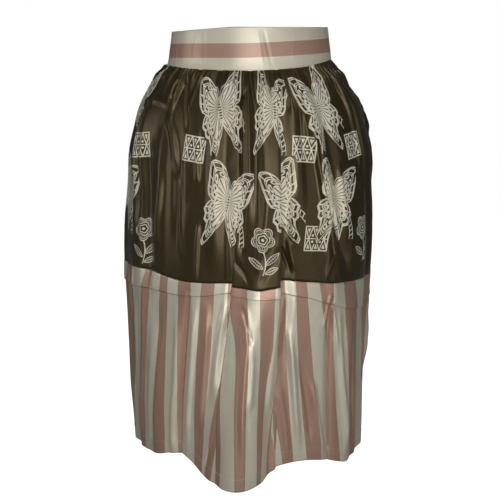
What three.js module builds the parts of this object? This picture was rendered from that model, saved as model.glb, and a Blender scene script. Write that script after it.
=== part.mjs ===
// Full gathered skirt, filled out as when it is worn and open at the waist and the hem.
// Millimetres, +Z up. The front faces -Y, and the origin is the middle of the waist, 30 below its top edge.
// A place on the cloth is an angle round the skirt (0 at centre front, 90 at the +X side, 180 at centre back)
// and a distance below the top edge of the waistband at centre front.
import * as THREE from 'three';

// Driving dimensions
const TOP = 30; // the height of the top edge above the origin
const BAND_WALL = 2.4;
const CLOTH_WALL = 2;
const SEAM_GAP = 0.3;
const LAP_ANGLE = 6; // the band's ends pass centre back by this much each
const LAP_EASE = 22; // the angle over which the outer end moves out over the inner one
const BUTTON = { radius: 7.5, thick: 2.6, hole: 0.9, holeOut: 2 };
const PANEL_STEP = 3; // degrees between a panel's columns of points
const BAND_STEP = 6;
const SIDE_SEAM = 90;
const CENTRE_BACK = 180;

// The girth of the cloth: half its width, half its depth, and how far its middle lies to the right and back.
const SECTIONS = [
  { below: 0, wide: 117, deep: 89, right: 0, back: 0 },
  { below: 30, wide: 121, deep: 93, right: 0, back: 0 },
  { below: 60, wide: 127, deep: 98, right: 0, back: 0 },
  { below: 71, wide: 139, deep: 104, right: 0, back: 1 },
  { below: 89, wide: 152, deep: 112, right: 0, back: 2 },
  { below: 117, wide: 169, deep: 121, right: 0, back: 3 },
  { below: 154, wide: 178, deep: 131, right: 0, back: 5 },
  { below: 191, wide: 185, deep: 139, right: 0, back: 6 },
  { below: 239, wide: 188, deep: 147, right: 0, back: 7 },
  { below: 296, wide: 193, deep: 153, right: -1, back: 8 },
  { below: 365, wide: 194, deep: 156, right: -2, back: 8 },
  { below: 465, wide: 189, deep: 157, right: -3, back: 8 },
  { below: 568, wide: 188, deep: 158, right: -5, back: 8 },
  { below: 620, wide: 187, deep: 158, right: -4, back: 8 },
  { below: 700, wide: 184, deep: 158, right: -3, back: 8 },
];

// Round the waistband: its top and bottom edges. The band sits lower at the -X side, and is drawn up at +X.
const BAND_EDGES = [
  { at: -150, top: 4, bottom: 57 },
  { at: -77, top: 7, bottom: 57.5 },
  { at: -43, top: 4, bottom: 60.5 },
  { at: -13, top: 0, bottom: 62 },
  { at: 5, top: 0, bottom: 62 },
  { at: 35, top: 0, bottom: 58.5 },
  { at: 55, top: 0, bottom: 53.5 },
  { at: 77, top: 0, bottom: 49 },
  { at: 110, top: 0, bottom: 50 },
  { at: 150, top: 1, bottom: 56 },
];

// Round the skirt: where the dark cloth ends, how deep the tuck under it is, and where the hem hangs.
const LEVELS = [
  { at: -170, seam: 366, tuck: 30, hem: 664 },
  { at: -130, seam: 364, tuck: 28, hem: 658 },
  { at: -85, seam: 363, tuck: 30, hem: 660 },
  { at: -50, seam: 357, tuck: 29, hem: 649 },
  { at: -32, seam: 364, tuck: 23, hem: 640 },
  { at: -20, seam: 365, tuck: 20, hem: 662 },
  { at: -7, seam: 364, tuck: 14, hem: 674 },
  { at: 5, seam: 368, tuck: 14, hem: 668 },
  { at: 14, seam: 361, tuck: 20, hem: 650 },
  { at: 26, seam: 365, tuck: 24, hem: 646 },
  { at: 38, seam: 371, tuck: 32, hem: 652 },
  { at: 55, seam: 376, tuck: 44, hem: 668 },
  { at: 78, seam: 380, tuck: 48, hem: 668 },
  { at: 115, seam: 376, tuck: 42, hem: 660 },
  { at: 150, seam: 370, tuck: 34, hem: 666 },
];

// Each fold is a soft ridge (high above 0) or trough. It starts at one angle and ends at another, and it has
// its own reach to each side. It rises from one level to the next and fades between the last two, unless it
// runs off the hem. Its reach grows by its flare on the way down.
const OFF = Infinity;
const LAST_LEVEL = 670; // where a fold that runs off the hem has come to its last angle
const FOLDS = [
  { at: 2, end: -5, left: 8, right: 7, flare: 2, high: 34, from: 300, full: 665, fade: OFF, to: OFF },
  { at: 9.5, end: 9.5, left: 15, right: 3.2, flare: 0, high: 10, from: 85, full: 260, fade: 380, to: 480 },
  { at: -2, end: -2, left: 3.5, right: 3.5, flare: 0, high: 4, from: 62, full: 85, fade: 200, to: 270 },
  { at: 3, end: 3, left: 3.5, right: 3.5, flare: 0, high: -4, from: 70, full: 100, fade: 220, to: 300 },
  { at: -1, end: -10, left: 3, right: 3, flare: 0, high: -3, from: 78, full: 105, fade: 140, to: 175 },
  { at: 30, end: 45, left: 5, right: 4.5, flare: 0.2, high: 8, from: 64, full: 115, fade: 320, to: 420 },
  { at: 36, end: 51, left: 4, right: 6, flare: 0.2, high: -6, from: 90, full: 150, fade: 330, to: 400 },
  { at: 20, end: 23, left: 5, right: 5, flare: 0, high: 4, from: 66, full: 100, fade: 200, to: 300 },
  { at: -46, end: -39, left: 5, right: 5, flare: 0, high: 6, from: 120, full: 180, fade: 300, to: 390 },
  { at: -53, end: -50, left: 6, right: 4.5, flare: 0, high: -7, from: 140, full: 200, fade: 340, to: 430 },
  { at: -33, end: -30, left: 4, right: 4.5, flare: 0, high: -4, from: 130, full: 190, fade: 250, to: 340 },
  { at: -43, end: -53, left: 4, right: 4, flare: 0, high: 5, from: 62, full: 76, fade: 100, to: 145 },
  { at: -68, end: -68, left: 9, right: 9, flare: 0, high: -5, from: 62, full: 85, fade: 100, to: 160 },
  { at: -17, end: -15, left: 5, right: 6, flare: 0, high: 5, from: 66, full: 120, fade: 260, to: 360 },
  { at: -26, end: -33, left: 4, right: 4, flare: 0.2, high: -6, from: 366, full: 430, fade: OFF, to: OFF },
  { at: -4.5, end: -19, left: 3, right: 3, flare: 0.3, high: -5, from: 260, full: 310, fade: OFF, to: OFF },
  { at: 10, end: 5, left: 3, right: 3, flare: 0.2, high: -5, from: 395, full: 450, fade: OFF, to: OFF },
  { at: 14.5, end: 17, left: 3, right: 5, flare: 0.2, high: -6, from: 180, full: 340, fade: 420, to: 600 },
  { at: 38.5, end: 36, left: 4, right: 4, flare: 0.2, high: -6, from: 385, full: 425, fade: OFF, to: OFF },
  { at: 56, end: 54, left: 9, right: 8, flare: 0.1, high: 6, from: 370, full: 480, fade: OFF, to: OFF },
  { at: -48, end: -47, left: 9, right: 8, flare: 0.1, high: 5, from: 400, full: 520, fade: OFF, to: OFF },
  { at: 72, end: 74, left: 7, right: 7, flare: 0.2, high: -5, from: 110, full: 240, fade: OFF, to: OFF },
  { at: -72, end: -74, left: 7, right: 7, flare: 0.2, high: -5, from: 220, full: 400, fade: OFF, to: OFF },
  { at: 92, end: 97, left: 8, right: 8, flare: 0.2, high: 5, from: 66, full: 180, fade: 420, to: 640 },
  { at: 108, end: 112, left: 7, right: 8, flare: 0.3, high: -8, from: 80, full: 260, fade: OFF, to: OFF },
  { at: 122, end: 130, left: 7, right: 7, flare: 0.3, high: 9, from: 66, full: 320, fade: OFF, to: OFF },
  { at: 137, end: 143, left: 6, right: 7, flare: 0.1, high: -6, from: 90, full: 200, fade: 380, to: 560 },
  { at: 149, end: 158, left: 7, right: 8, flare: 0.4, high: 11, from: 70, full: 420, fade: OFF, to: OFF },
  { at: 163, end: 171, left: 5, right: 6, flare: 0.4, high: -6, from: 240, full: 400, fade: OFF, to: OFF },
  { at: -171, end: -177, left: 8, right: 7, flare: 0.3, high: 8, from: 240, full: 460, fade: OFF, to: OFF },
  { at: -158, end: -160, left: 6, right: 6, flare: 0.2, high: -7, from: 80, full: 210, fade: 500, to: 680 },
  { at: -146, end: -145, left: 6, right: 7, flare: 0.4, high: 10, from: 66, full: 380, fade: OFF, to: OFF },
  { at: -132, end: -130, left: 7, right: 6, flare: 0.2, high: -8, from: 90, full: 300, fade: OFF, to: OFF },
  { at: -119, end: -115, left: 7, right: 8, flare: 0.2, high: 7, from: 66, full: 230, fade: 520, to: 720 },
  { at: -104, end: -101, left: 6, right: 7, flare: 0.3, high: -7, from: 100, full: 350, fade: OFF, to: OFF },
  { at: -89, end: -88, left: 7, right: 7, flare: 0.2, high: 5, from: 70, full: 200, fade: 440, to: 640 },
];

// Where the rings of points lie, as shares of the way down from one edge to the next.
const BAND_RINGS = [0, 0.5, 1];
const UPPER_RINGS = [0, 0.05, 0.12, 0.22, 0.36, 0.54, 0.76, 1];
const LOWER_RINGS = [0, 0.34, 0.67, 1];

const COLOURS = {
  dark: { color: 0x352b1b, roughness: 0.42, metalness: 0 },
  striped: { color: 0xb79a86, roughness: 0.45, metalness: 0 },
  button: { color: 0xb9ad93, roughness: 0.35, metalness: 0 },
};

const { clamp, smoothstep, degToRad, radToDeg, euclideanModulo, lerp } = THREE.MathUtils;

// The value of a column between a table's rows, on a curve that is smooth through every row.
function between(rows, key, place, column) {
  const last = rows.length - 1;
  const next = rows.findIndex((row) => row[key] > place);
  if (next < 0) return rows[last][column];
  if (next === 0) return rows[0][column];
  const slope = (i) => {
    const a = rows[Math.max(i - 1, 0)];
    const b = rows[Math.min(i + 1, last)];
    return (b[column] - a[column]) / (b[key] - a[key]);
  };
  const [low, high] = [rows[next - 1], rows[next]];
  const span = high[key] - low[key];
  const t = (place - low[key]) / span;
  const keep = 2 * t ** 3 - 3 * t ** 2 + 1;
  const rise = slope(next - 1) * (t ** 3 - 2 * t ** 2 + t) + slope(next) * (t ** 3 - t ** 2);
  return low[column] * keep + high[column] * (1 - keep) + rise * span;
}

// A table carried on past both ends, so that it runs smoothly through centre back.
const round = (rows) => [-360, 0, 360].flatMap((turn) => rows.map((row) => ({ ...row, at: row.at + turn })));
const [ROUND_LEVELS, ROUND_EDGES] = [round(LEVELS), round(BAND_EDGES)];
const level = (angle, column) => between(ROUND_LEVELS, 'at', angle, column);
const bandTop = (angle) => between(ROUND_EDGES, 'at', angle, 'top');
const bandBottom = (angle) => between(ROUND_EDGES, 'at', angle, 'bottom');

const aroundBack = (angle) => euclideanModulo(angle + CENTRE_BACK, 360) - CENTRE_BACK;

// How far the folds move the cloth out at a place.
function foldsAt(angle, below) {
  let out = 0;
  for (const fold of FOLDS) {
    const run = clamp((below - fold.from) / (Math.min(fold.to, LAST_LEVEL) - fold.from), 0, 1);
    const aside = aroundBack(angle - lerp(fold.at, fold.end, run));
    const reach = (aside < 0 ? fold.left : fold.right) * (1 + fold.flare * run);
    if (Math.abs(aside) >= reach) continue;
    const grown = smoothstep(below, fold.from, fold.full) * (1 - smoothstep(below, fold.fade, fold.to));
    out += fold.high * grown * (0.5 + 0.5 * Math.cos((Math.PI * aside) / reach));
  }
  return out;
}

// The middle of the cloth's wall at a place: an ellipse, moved out along its own normal by the folds.
function middle(angle, below, folded) {
  const [wide, deep, right, back] = ['wide', 'deep', 'right', 'back'].map((column) =>
    between(SECTIONS, 'below', below, column));
  const turn = degToRad(angle);
  const out = new THREE.Vector2(deep * Math.sin(turn), -wide * Math.cos(turn)).normalize();
  out.multiplyScalar(folded ? foldsAt(angle, below) : 0);
  const behind = (back * (1 - Math.cos(turn))) / 2;
  return new THREE.Vector3(
    wide * Math.sin(turn) + right + out.x,
    -deep * Math.cos(turn) + behind + out.y,
    TOP - below,
  );
}

// A point of the cloth, moved straight out of its surface by lift. The slopes are taken over a small step.
function clothPoint(angle, below, lift, folded = true) {
  const step = { angle: 0.3, below: 0.5 };
  const along = middle(angle + step.angle, below, folded).sub(middle(angle - step.angle, below, folded));
  const down = middle(angle, below + step.below, folded).sub(middle(angle, below - step.below, folded));
  const normal = down.cross(along).normalize();
  return middle(angle, below, folded).addScaledVector(normal, lift);
}

// A closed wall with its points at some angles on some rings. Each ring is a function that gives its distance
// below the top edge at an angle, and place(angle, below, lift) gives a point.
function wall(angles, rings, thick, place) {
  const points = [];
  for (const lift of [thick / 2, -thick / 2]) {
    for (const ring of rings) {
      for (const angle of angles) points.push(place(angle, ring(angle), lift));
    }
  }
  const [columns, rows] = [angles.length, rings.length];
  const at = (side, row, column) => (side * rows + row) * columns + column;
  const faces = [];
  const quad = (a, b, c, d) => faces.push(a, b, c, a, c, d);
  for (let r = 0; r < rows - 1; r += 1) {
    for (let c = 0; c < columns - 1; c += 1) {
      quad(at(0, r, c), at(0, r + 1, c), at(0, r + 1, c + 1), at(0, r, c + 1));
      quad(at(1, r, c), at(1, r, c + 1), at(1, r + 1, c + 1), at(1, r + 1, c));
    }
    quad(at(0, r, 0), at(1, r, 0), at(1, r + 1, 0), at(0, r + 1, 0));
    quad(at(0, r, columns - 1), at(0, r + 1, columns - 1), at(1, r + 1, columns - 1), at(1, r, columns - 1));
  }
  for (let c = 0; c < columns - 1; c += 1) {
    quad(at(0, 0, c), at(0, 0, c + 1), at(1, 0, c + 1), at(1, 0, c));
    quad(at(0, rows - 1, c), at(1, rows - 1, c), at(1, rows - 1, c + 1), at(0, rows - 1, c + 1));
  }
  const geometry = new THREE.BufferGeometry().setFromPoints(points);
  geometry.setIndex(faces);
  return geometry;
}

// Even angles between two edges, each drawn in from its seam by half a gap.
function columnsBetween(first, last, step) {
  const halfGap = radToDeg(SEAM_GAP / 2 / SECTIONS[0].wide);
  const count = Math.round((last - first) / step);
  return Array.from({ length: count + 1 }, (_, i) =>
    lerp(first + halfGap, last - halfGap, i / count));
}

const group = new THREE.Group();
group.name = 'full_skirt';

function addPiece(name, geometry, look) {
  const mesh = new THREE.Mesh(geometry, new THREE.MeshStandardMaterial(COLOURS[look]));
  mesh.name = name;
  group.add(mesh);
  return mesh;
}

// Rings between an upper and a lower edge.
const ringsDown = (top, bottom, shares) =>
  shares.map((share) => (angle) => lerp(top(angle), bottom(angle), share));

function addPanel(name, look, { first, last }, rings, lifted = 0) {
  const place = (angle, below, lift) => clothPoint(angle, below, lifted + lift);
  addPiece(name, wall(columnsBetween(first, last, PANEL_STEP), rings, CLOTH_WALL, place), look);
}

const FRONT = { first: -SIDE_SEAM, last: SIDE_SEAM };
const BACK = { first: SIDE_SEAM, last: 360 - SIDE_SEAM };
const BACK_RIGHT = { first: SIDE_SEAM, last: CENTRE_BACK };
const BACK_LEFT = { first: CENTRE_BACK, last: 360 - SIDE_SEAM };

// Waistband: one strip whose outer end laps over its inner end at centre back.
const lapStart = CENTRE_BACK - LAP_ANGLE;
const bandLift = (angle) => (BAND_WALL + SEAM_GAP) * smoothstep(angle, lapStart - LAP_EASE, lapStart - 1);
const bandPoint = (angle, below, lift) => clothPoint(angle, below, bandLift(angle) + lift, false);
const bandRings = ringsDown(bandTop, bandBottom, BAND_RINGS);
const bandAngles = columnsBetween(-CENTRE_BACK - LAP_ANGLE, CENTRE_BACK + LAP_ANGLE, BAND_STEP);
addPiece('waistband', wall(bandAngles, bandRings, BAND_WALL, bandPoint), 'striped');

// Dark gathered panels, from the band down to the seam. The back has a slit at its centre.
const underBand = (angle) => bandBottom(angle) + SEAM_GAP;
const aboveSeam = (angle) => level(angle, 'seam') - SEAM_GAP / 2;
const upperRings = ringsDown(underBand, aboveSeam, UPPER_RINGS);
addPanel('upper_front', 'dark', FRONT, upperRings);
addPanel('upper_back_right', 'dark', BACK_RIGHT, upperRings);
addPanel('upper_back_left', 'dark', BACK_LEFT, upperRings);

// Striped panels, from the seam down to the hem, and the tuck that lies on the top of each.
const underSeam = (angle) => level(angle, 'seam') + SEAM_GAP / 2;
const tuckFold = (angle) => level(angle, 'seam') + level(angle, 'tuck');
const hem = (angle) => level(angle, 'hem');
const lowerRings = [underSeam, ...ringsDown(tuckFold, hem, LOWER_RINGS)];
const tuckRings = [underSeam, tuckFold];
const onCloth = CLOTH_WALL + SEAM_GAP;
addPanel('lower_front', 'striped', FRONT, lowerRings);
addPanel('lower_back', 'striped', BACK, lowerRings);
addPanel('tuck_front', 'striped', FRONT, tuckRings, onCloth);
addPanel('tuck_back', 'striped', BACK, tuckRings, onCloth);

// Buttons on the lap, each a disc with four holes, flat on the band between two of its rings.
function buttonGeometry() {
  const outline = new THREE.Shape();
  outline.absarc(0, 0, BUTTON.radius, 0, Math.PI * 2, false);
  for (let i = 0; i < 4; i += 1) {
    const turn = Math.PI * (i / 2 + 0.25);
    const hole = new THREE.Path();
    hole.absarc(Math.cos(turn) * BUTTON.holeOut, Math.sin(turn) * BUTTON.holeOut, BUTTON.hole, 0,
      Math.PI * 2, true);
    outline.holes.push(hole);
  }
  return new THREE.ExtrudeGeometry(outline, { depth: BUTTON.thick, bevelEnabled: false, curveSegments: 14 });
}
['button_top', 'button_bottom'].forEach((name, i) => {
  const [above, under] = [i, i + 1].map((ring) =>
    bandPoint(CENTRE_BACK, bandRings[ring](CENTRE_BACK), BAND_WALL / 2));
  const seat = new THREE.Vector3().lerpVectors(above, under, 0.5);
  const towardsLeft = new THREE.Vector3(-1, 0, 0);
  const normal = under.sub(above).cross(towardsLeft).normalize();
  const button = addPiece(name, buttonGeometry(), 'button');
  button.position.copy(seat).addScaledVector(normal, SEAM_GAP);
  button.quaternion.setFromUnitVectors(new THREE.Vector3(0, 0, 1), normal);
});

export default group;
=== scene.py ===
# %% [markdown]
# # A gathered full skirt, and how to build one in Blender
# The skirt is a satin waistband, a dark printed yoke gathered into it, and a striped flounce with a tuck at
# its top. It is filled out as it is when worn, and open at the waist and the hem. Each panel is one surface
# worked out with numpy, so every step below is a function of two things: the angle round the skirt (0 at
# centre front, 90 at the +X side, 180 at centre back) and the distance below the top edge of the band.

import bpy
import numpy as np
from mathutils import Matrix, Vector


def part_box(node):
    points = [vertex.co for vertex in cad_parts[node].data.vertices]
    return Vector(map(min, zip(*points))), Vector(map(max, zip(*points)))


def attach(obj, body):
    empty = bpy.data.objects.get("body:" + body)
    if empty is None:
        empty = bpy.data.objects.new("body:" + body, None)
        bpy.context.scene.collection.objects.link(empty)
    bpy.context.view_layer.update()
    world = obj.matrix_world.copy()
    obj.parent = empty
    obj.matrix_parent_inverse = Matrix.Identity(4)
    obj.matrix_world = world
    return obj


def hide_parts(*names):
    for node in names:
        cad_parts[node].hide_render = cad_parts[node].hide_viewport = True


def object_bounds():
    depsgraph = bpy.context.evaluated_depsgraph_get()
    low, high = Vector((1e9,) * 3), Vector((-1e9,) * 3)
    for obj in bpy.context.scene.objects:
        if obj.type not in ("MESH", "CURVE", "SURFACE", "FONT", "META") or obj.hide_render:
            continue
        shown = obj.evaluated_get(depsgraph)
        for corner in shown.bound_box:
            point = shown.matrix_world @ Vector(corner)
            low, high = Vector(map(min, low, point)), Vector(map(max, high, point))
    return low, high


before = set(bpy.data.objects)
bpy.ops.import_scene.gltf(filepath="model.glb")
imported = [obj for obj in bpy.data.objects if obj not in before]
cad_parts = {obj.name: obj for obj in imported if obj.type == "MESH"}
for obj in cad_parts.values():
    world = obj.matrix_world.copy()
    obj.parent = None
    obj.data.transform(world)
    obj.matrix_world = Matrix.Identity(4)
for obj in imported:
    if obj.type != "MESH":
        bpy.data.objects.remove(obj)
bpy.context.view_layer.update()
MM = 0.001  # one millimetre, in metres

# %% [markdown]
# ## The camera
# The camera stands in front at the height of the waist and looks a little down. A constraint could aim it,
# but a plain place and tilt say the same. It comes first, so that each later step can be looked at.

# %% Make the camera
LOOKS_DOWN = 12.58  # degrees
camera = bpy.data.objects.new("camera", bpy.data.cameras.new("camera"))
camera.data.lens, camera.data.sensor_width = 72, 36
camera.location = (0, -1.56, 0.03)
camera.rotation_euler = (np.radians(90 - LOOKS_DOWN), 0, 0)
bpy.context.scene.collection.objects.link(camera)
bpy.context.scene.camera = camera
print("camera at", tuple(camera.location))

# %% [markdown]
# ## The girth of the cloth
# A worn skirt is a tube whose section changes on the way down: a small ellipse at the waist, a quick spread
# over the hips, and then nearly straight sides. It could be lofted through rings in the viewport. A table
# of a few rows with a cubic curve through them is easier to correct, and gives every height between. The
# same is done round the skirt for the seam, the tuck and the hem.

# %% Rows that give the form, in millimetres and degrees
# below the top, half the width, half the depth, how far the middle lies to the right, and to the back
GIRTH = np.array([
    (0, 117, 89, 0, 0), (30, 121, 93, 0, 0), (60, 127, 98, 0, 0), (71, 139, 104, 0, 1),
    (89, 152, 112, 0, 2), (117, 169, 121, 0, 3), (154, 178, 131, 0, 5), (191, 185, 139, 0, 6),
    (239, 188, 147, 0, 7), (296, 193, 153, -1, 8), (365, 194, 156, -2, 8), (465, 189, 157, -3, 8),
    (568, 188, 158, -5, 8), (620, 187, 158, -4, 8), (700, 184, 158, -3, 8),
], float)
# angle, the seam under the dark cloth, the depth of the tuck, the hem
LEVELS = np.array([
    (-170, 366, 30, 664), (-130, 364, 28, 658), (-85, 363, 30, 660), (-50, 357, 29, 649),
    (-32, 364, 23, 640), (-20, 365, 20, 662), (-7, 364, 14, 674), (5, 368, 14, 668),
    (14, 361, 20, 650), (26, 365, 24, 646), (38, 371, 32, 652), (55, 376, 44, 668),
    (78, 380, 48, 668), (115, 376, 42, 660), (150, 370, 34, 666),
], float)
# angle, the band's top edge, its bottom edge
BAND_EDGES = np.array([
    (-150, 4, 57), (-77, 7, 57.5), (-43, 4, 60.5), (-13, 0, 62), (5, 0, 62), (35, 0, 58.5),
    (55, 0, 53.5), (77, 0, 49), (110, 0, 50), (150, 1, 56),
], float)
TOP = 30  # the height of the band's top edge above the origin
print("rows of girth, of levels and of band edges:", len(GIRTH), len(LEVELS), len(BAND_EDGES))


# %% Read a table at any place
def between(rows, place):
    """The columns of a table at a place. The curve is a cubic between each two rows, and its slope at a
    row is that of the line between the row's two neighbours."""
    key, columns = rows[:, 0], rows[:, 1:]
    last = len(key) - 1
    behind, ahead = np.maximum(np.arange(last + 1) - 1, 0), np.minimum(np.arange(last + 1) + 1, last)
    slopes = (columns[ahead] - columns[behind]) / (key[ahead] - key[behind])[:, None]
    low = np.clip(np.searchsorted(key, place, "right") - 1, 0, last - 1)
    span = (key[low + 1] - key[low])[..., None]
    t = np.clip((place - key[low])[..., None] / span, 0, 1)
    keep = 2 * t**3 - 3 * t**2 + 1
    rise = slopes[low] * (t**3 - 2 * t**2 + t) + slopes[low + 1] * (t**3 - t**2)
    return columns[low] * keep + columns[low + 1] * (1 - keep) + rise * span


def all_round(rows, angle):
    """The columns of a table that closes on itself after a full turn."""
    turns = [rows + np.eye(1, rows.shape[1])[0] * turn for turn in (-360, 0, 360)]
    return np.moveaxis(between(np.concatenate(turns), angle), -1, 0)


def ease(x, start, end):
    """Rises from 0 at start to 1 at end as 3t^2 - 2t^3."""
    t = np.clip((x - start) / (end - start), 0, 1)
    return t * t * (3 - 2 * t)


def edge_lines(angle):
    """Distances below the top of the dark cloth's seam, the tuck's fold and the hem. The lap at centre
    front hangs a little lower than the cloth beside it."""
    seam, tuck, hem = all_round(LEVELS, angle)
    seam = seam + 4 * ease(angle, -7, -4) * (1 - ease(angle, 10.5, 13.5))
    return seam, seam + tuck, hem


print("seam, tuck and hem at centre front:", [round(float(v), 1) for v in edge_lines(np.array(0.0))])

# %% [markdown]
# ## Folds one by one
# Gathered cloth hangs in long soft ridges and troughs, no two alike. A cloth simulation would give folds of
# its own choice, and these are particular ones, so each row below places one: where it starts and ends, how
# far it reaches to each side, how high it stands, and the heights at which it grows and fades. A fold's
# profile is a bell, and `crisp` turns the bell into a tent with a sharp top for a pressed crease.

# %% The main folds
LOWEST = 670  # where a fold that runs off the hem has come to its last angle
RUNS_OFF = (1e6, 2e6)  # where such a fold would fade, far below the hem
# at, end, left, right, flare, high, from, full, fade, to, crisp
FOLDS = np.array([
    (2, -5, 8, 7, 2, 34, 300, 665, *RUNS_OFF, 0),
    (9.5, 9.5, 15, 4.2, 0, 9, 85, 230, 380, 520, 0.2),
    (3, 3, 3.5, 3.5, 0, -4, 70, 100, 220, 300, 0),
    (29, 43, 5, 4.5, 0.2, 6, 64, 115, 320, 420, 0.2),
    (36, 51, 4, 6, 0.2, -4, 90, 150, 330, 400, 0.2),
    (20, 23, 5, 5, 0, 4, 66, 100, 200, 300, 0),
    (-46, -43, 5, 5, 0, 4, 120, 180, 300, 390, 0.1),
    (-55, -51, 6, 4.5, 0, -4, 140, 200, 340, 430, 0),
    (-35, -33, 4, 4.5, 0, -4, 130, 190, 250, 340, 0),
    (-65, -66, 9, 15, 0, 8, 82, 150, 190, 270, 0),
    (-68, -68, 9, 9, 0, -5, 62, 85, 100, 160, 0),
    (-17, -15, 5, 6, 0, 5, 66, 120, 260, 360, 0),
    (-27, -34, 4, 4, 0.2, -4, 366, 430, *RUNS_OFF, 0.3),
    (-5.6, -14, 3, 3, 0.3, -5, 300, 360, *RUNS_OFF, 0.4),
    (11.4, 9, 3, 3, 0.2, -5, 395, 450, *RUNS_OFF, 0.4),
    (14.5, 17, 3, 5, 0.2, -6, 180, 340, 420, 600, 0),
    (39.5, 42.5, 4, 4, 0.2, -4, 385, 425, *RUNS_OFF, 0.3),
    (56, 54, 9, 8, 0.1, 6, 370, 480, *RUNS_OFF, 0),
    (-48, -47, 9, 8, 0.1, 5, 400, 520, *RUNS_OFF, 0),
    (72, 74, 7, 7, 0.2, -5, 110, 240, *RUNS_OFF, 0),
    (-72, -74, 7, 7, 0.2, -5, 330, 440, *RUNS_OFF, 0),
    (92, 97, 8, 8, 0.2, 5, 66, 180, 420, 640, 0),
    (108, 112, 7, 8, 0.3, -8, 80, 260, *RUNS_OFF, 0.2),
    (122, 130, 7, 7, 0.3, 9, 66, 320, *RUNS_OFF, 0),
    (137, 143, 6, 7, 0.1, -6, 90, 200, 380, 560, 0.2),
    (149, 158, 7, 8, 0.4, 11, 70, 420, *RUNS_OFF, 0),
    (163, 171, 5, 6, 0.4, -6, 240, 400, *RUNS_OFF, 0.2),
    (-171, -177, 8, 7, 0.3, 8, 240, 460, *RUNS_OFF, 0),
    (-158, -160, 6, 6, 0.2, -7, 80, 210, 500, 680, 0.2),
    (-146, -145, 6, 7, 0.4, 10, 66, 380, *RUNS_OFF, 0),
    (-132, -130, 7, 6, 0.2, -8, 90, 300, *RUNS_OFF, 0.2),
    (-119, -115, 7, 8, 0.2, 7, 66, 230, 520, 720, 0),
    (-104, -101, 6, 7, 0.3, -7, 100, 350, *RUNS_OFF, 0.2),
    (-89, -88, 7, 7, 0.2, 5, 70, 200, 440, 640, 0),
], float)
print(len(FOLDS), "folds placed by hand")


# %% Add folds up
def bell(aside, reach, crisp):
    """1 in the middle and 0 at the reach. It is a cosine bell, (1 + cos(pi s)) / 2, with a share of crisp
    of a tent, (1 - s)^2, mixed in."""
    s = np.minimum(np.abs(aside) / reach, 1)
    return (1 - crisp) * (0.5 + 0.5 * np.cos(np.pi * s)) + crisp * (1 - s) ** 2


def folds_at(table, angle, below):
    """The sum over a table's folds of high * grown * bell, in millimetres out from the cloth."""
    out = np.zeros(np.broadcast(angle, below).shape)
    for at, end, left, right, flare, high, start, full, fade, to, crisp in table:
        run = np.clip((below - start) / (min(to, LOWEST) - start), 0, 1)
        aside = (angle - at - (end - at) * run + 180) % 360 - 180
        reach = np.where(aside < 0, left, right) * (1 + flare * run)
        near = (np.abs(aside) < reach) & (below > start) & (below < to)
        grown = ease(below[near], start, full) * (1 - ease(below[near], fade, to))
        out[near] += high * grown * bell(aside[near], reach[near], crisp)
    return out


print("folds at centre front of the hem, in mm:", folds_at(FOLDS, np.zeros(1), np.array([660.0])).round(1))

# %% [markdown]
# ## Creases along a path
# Short creases wander and cross the long folds at a slant. They could be sculpted, but a stroke can't be
# repeated exactly, so each crease has a path of its own: a few places joined by a smooth curve. A point's
# distance from the curve goes through the same bell.

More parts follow.
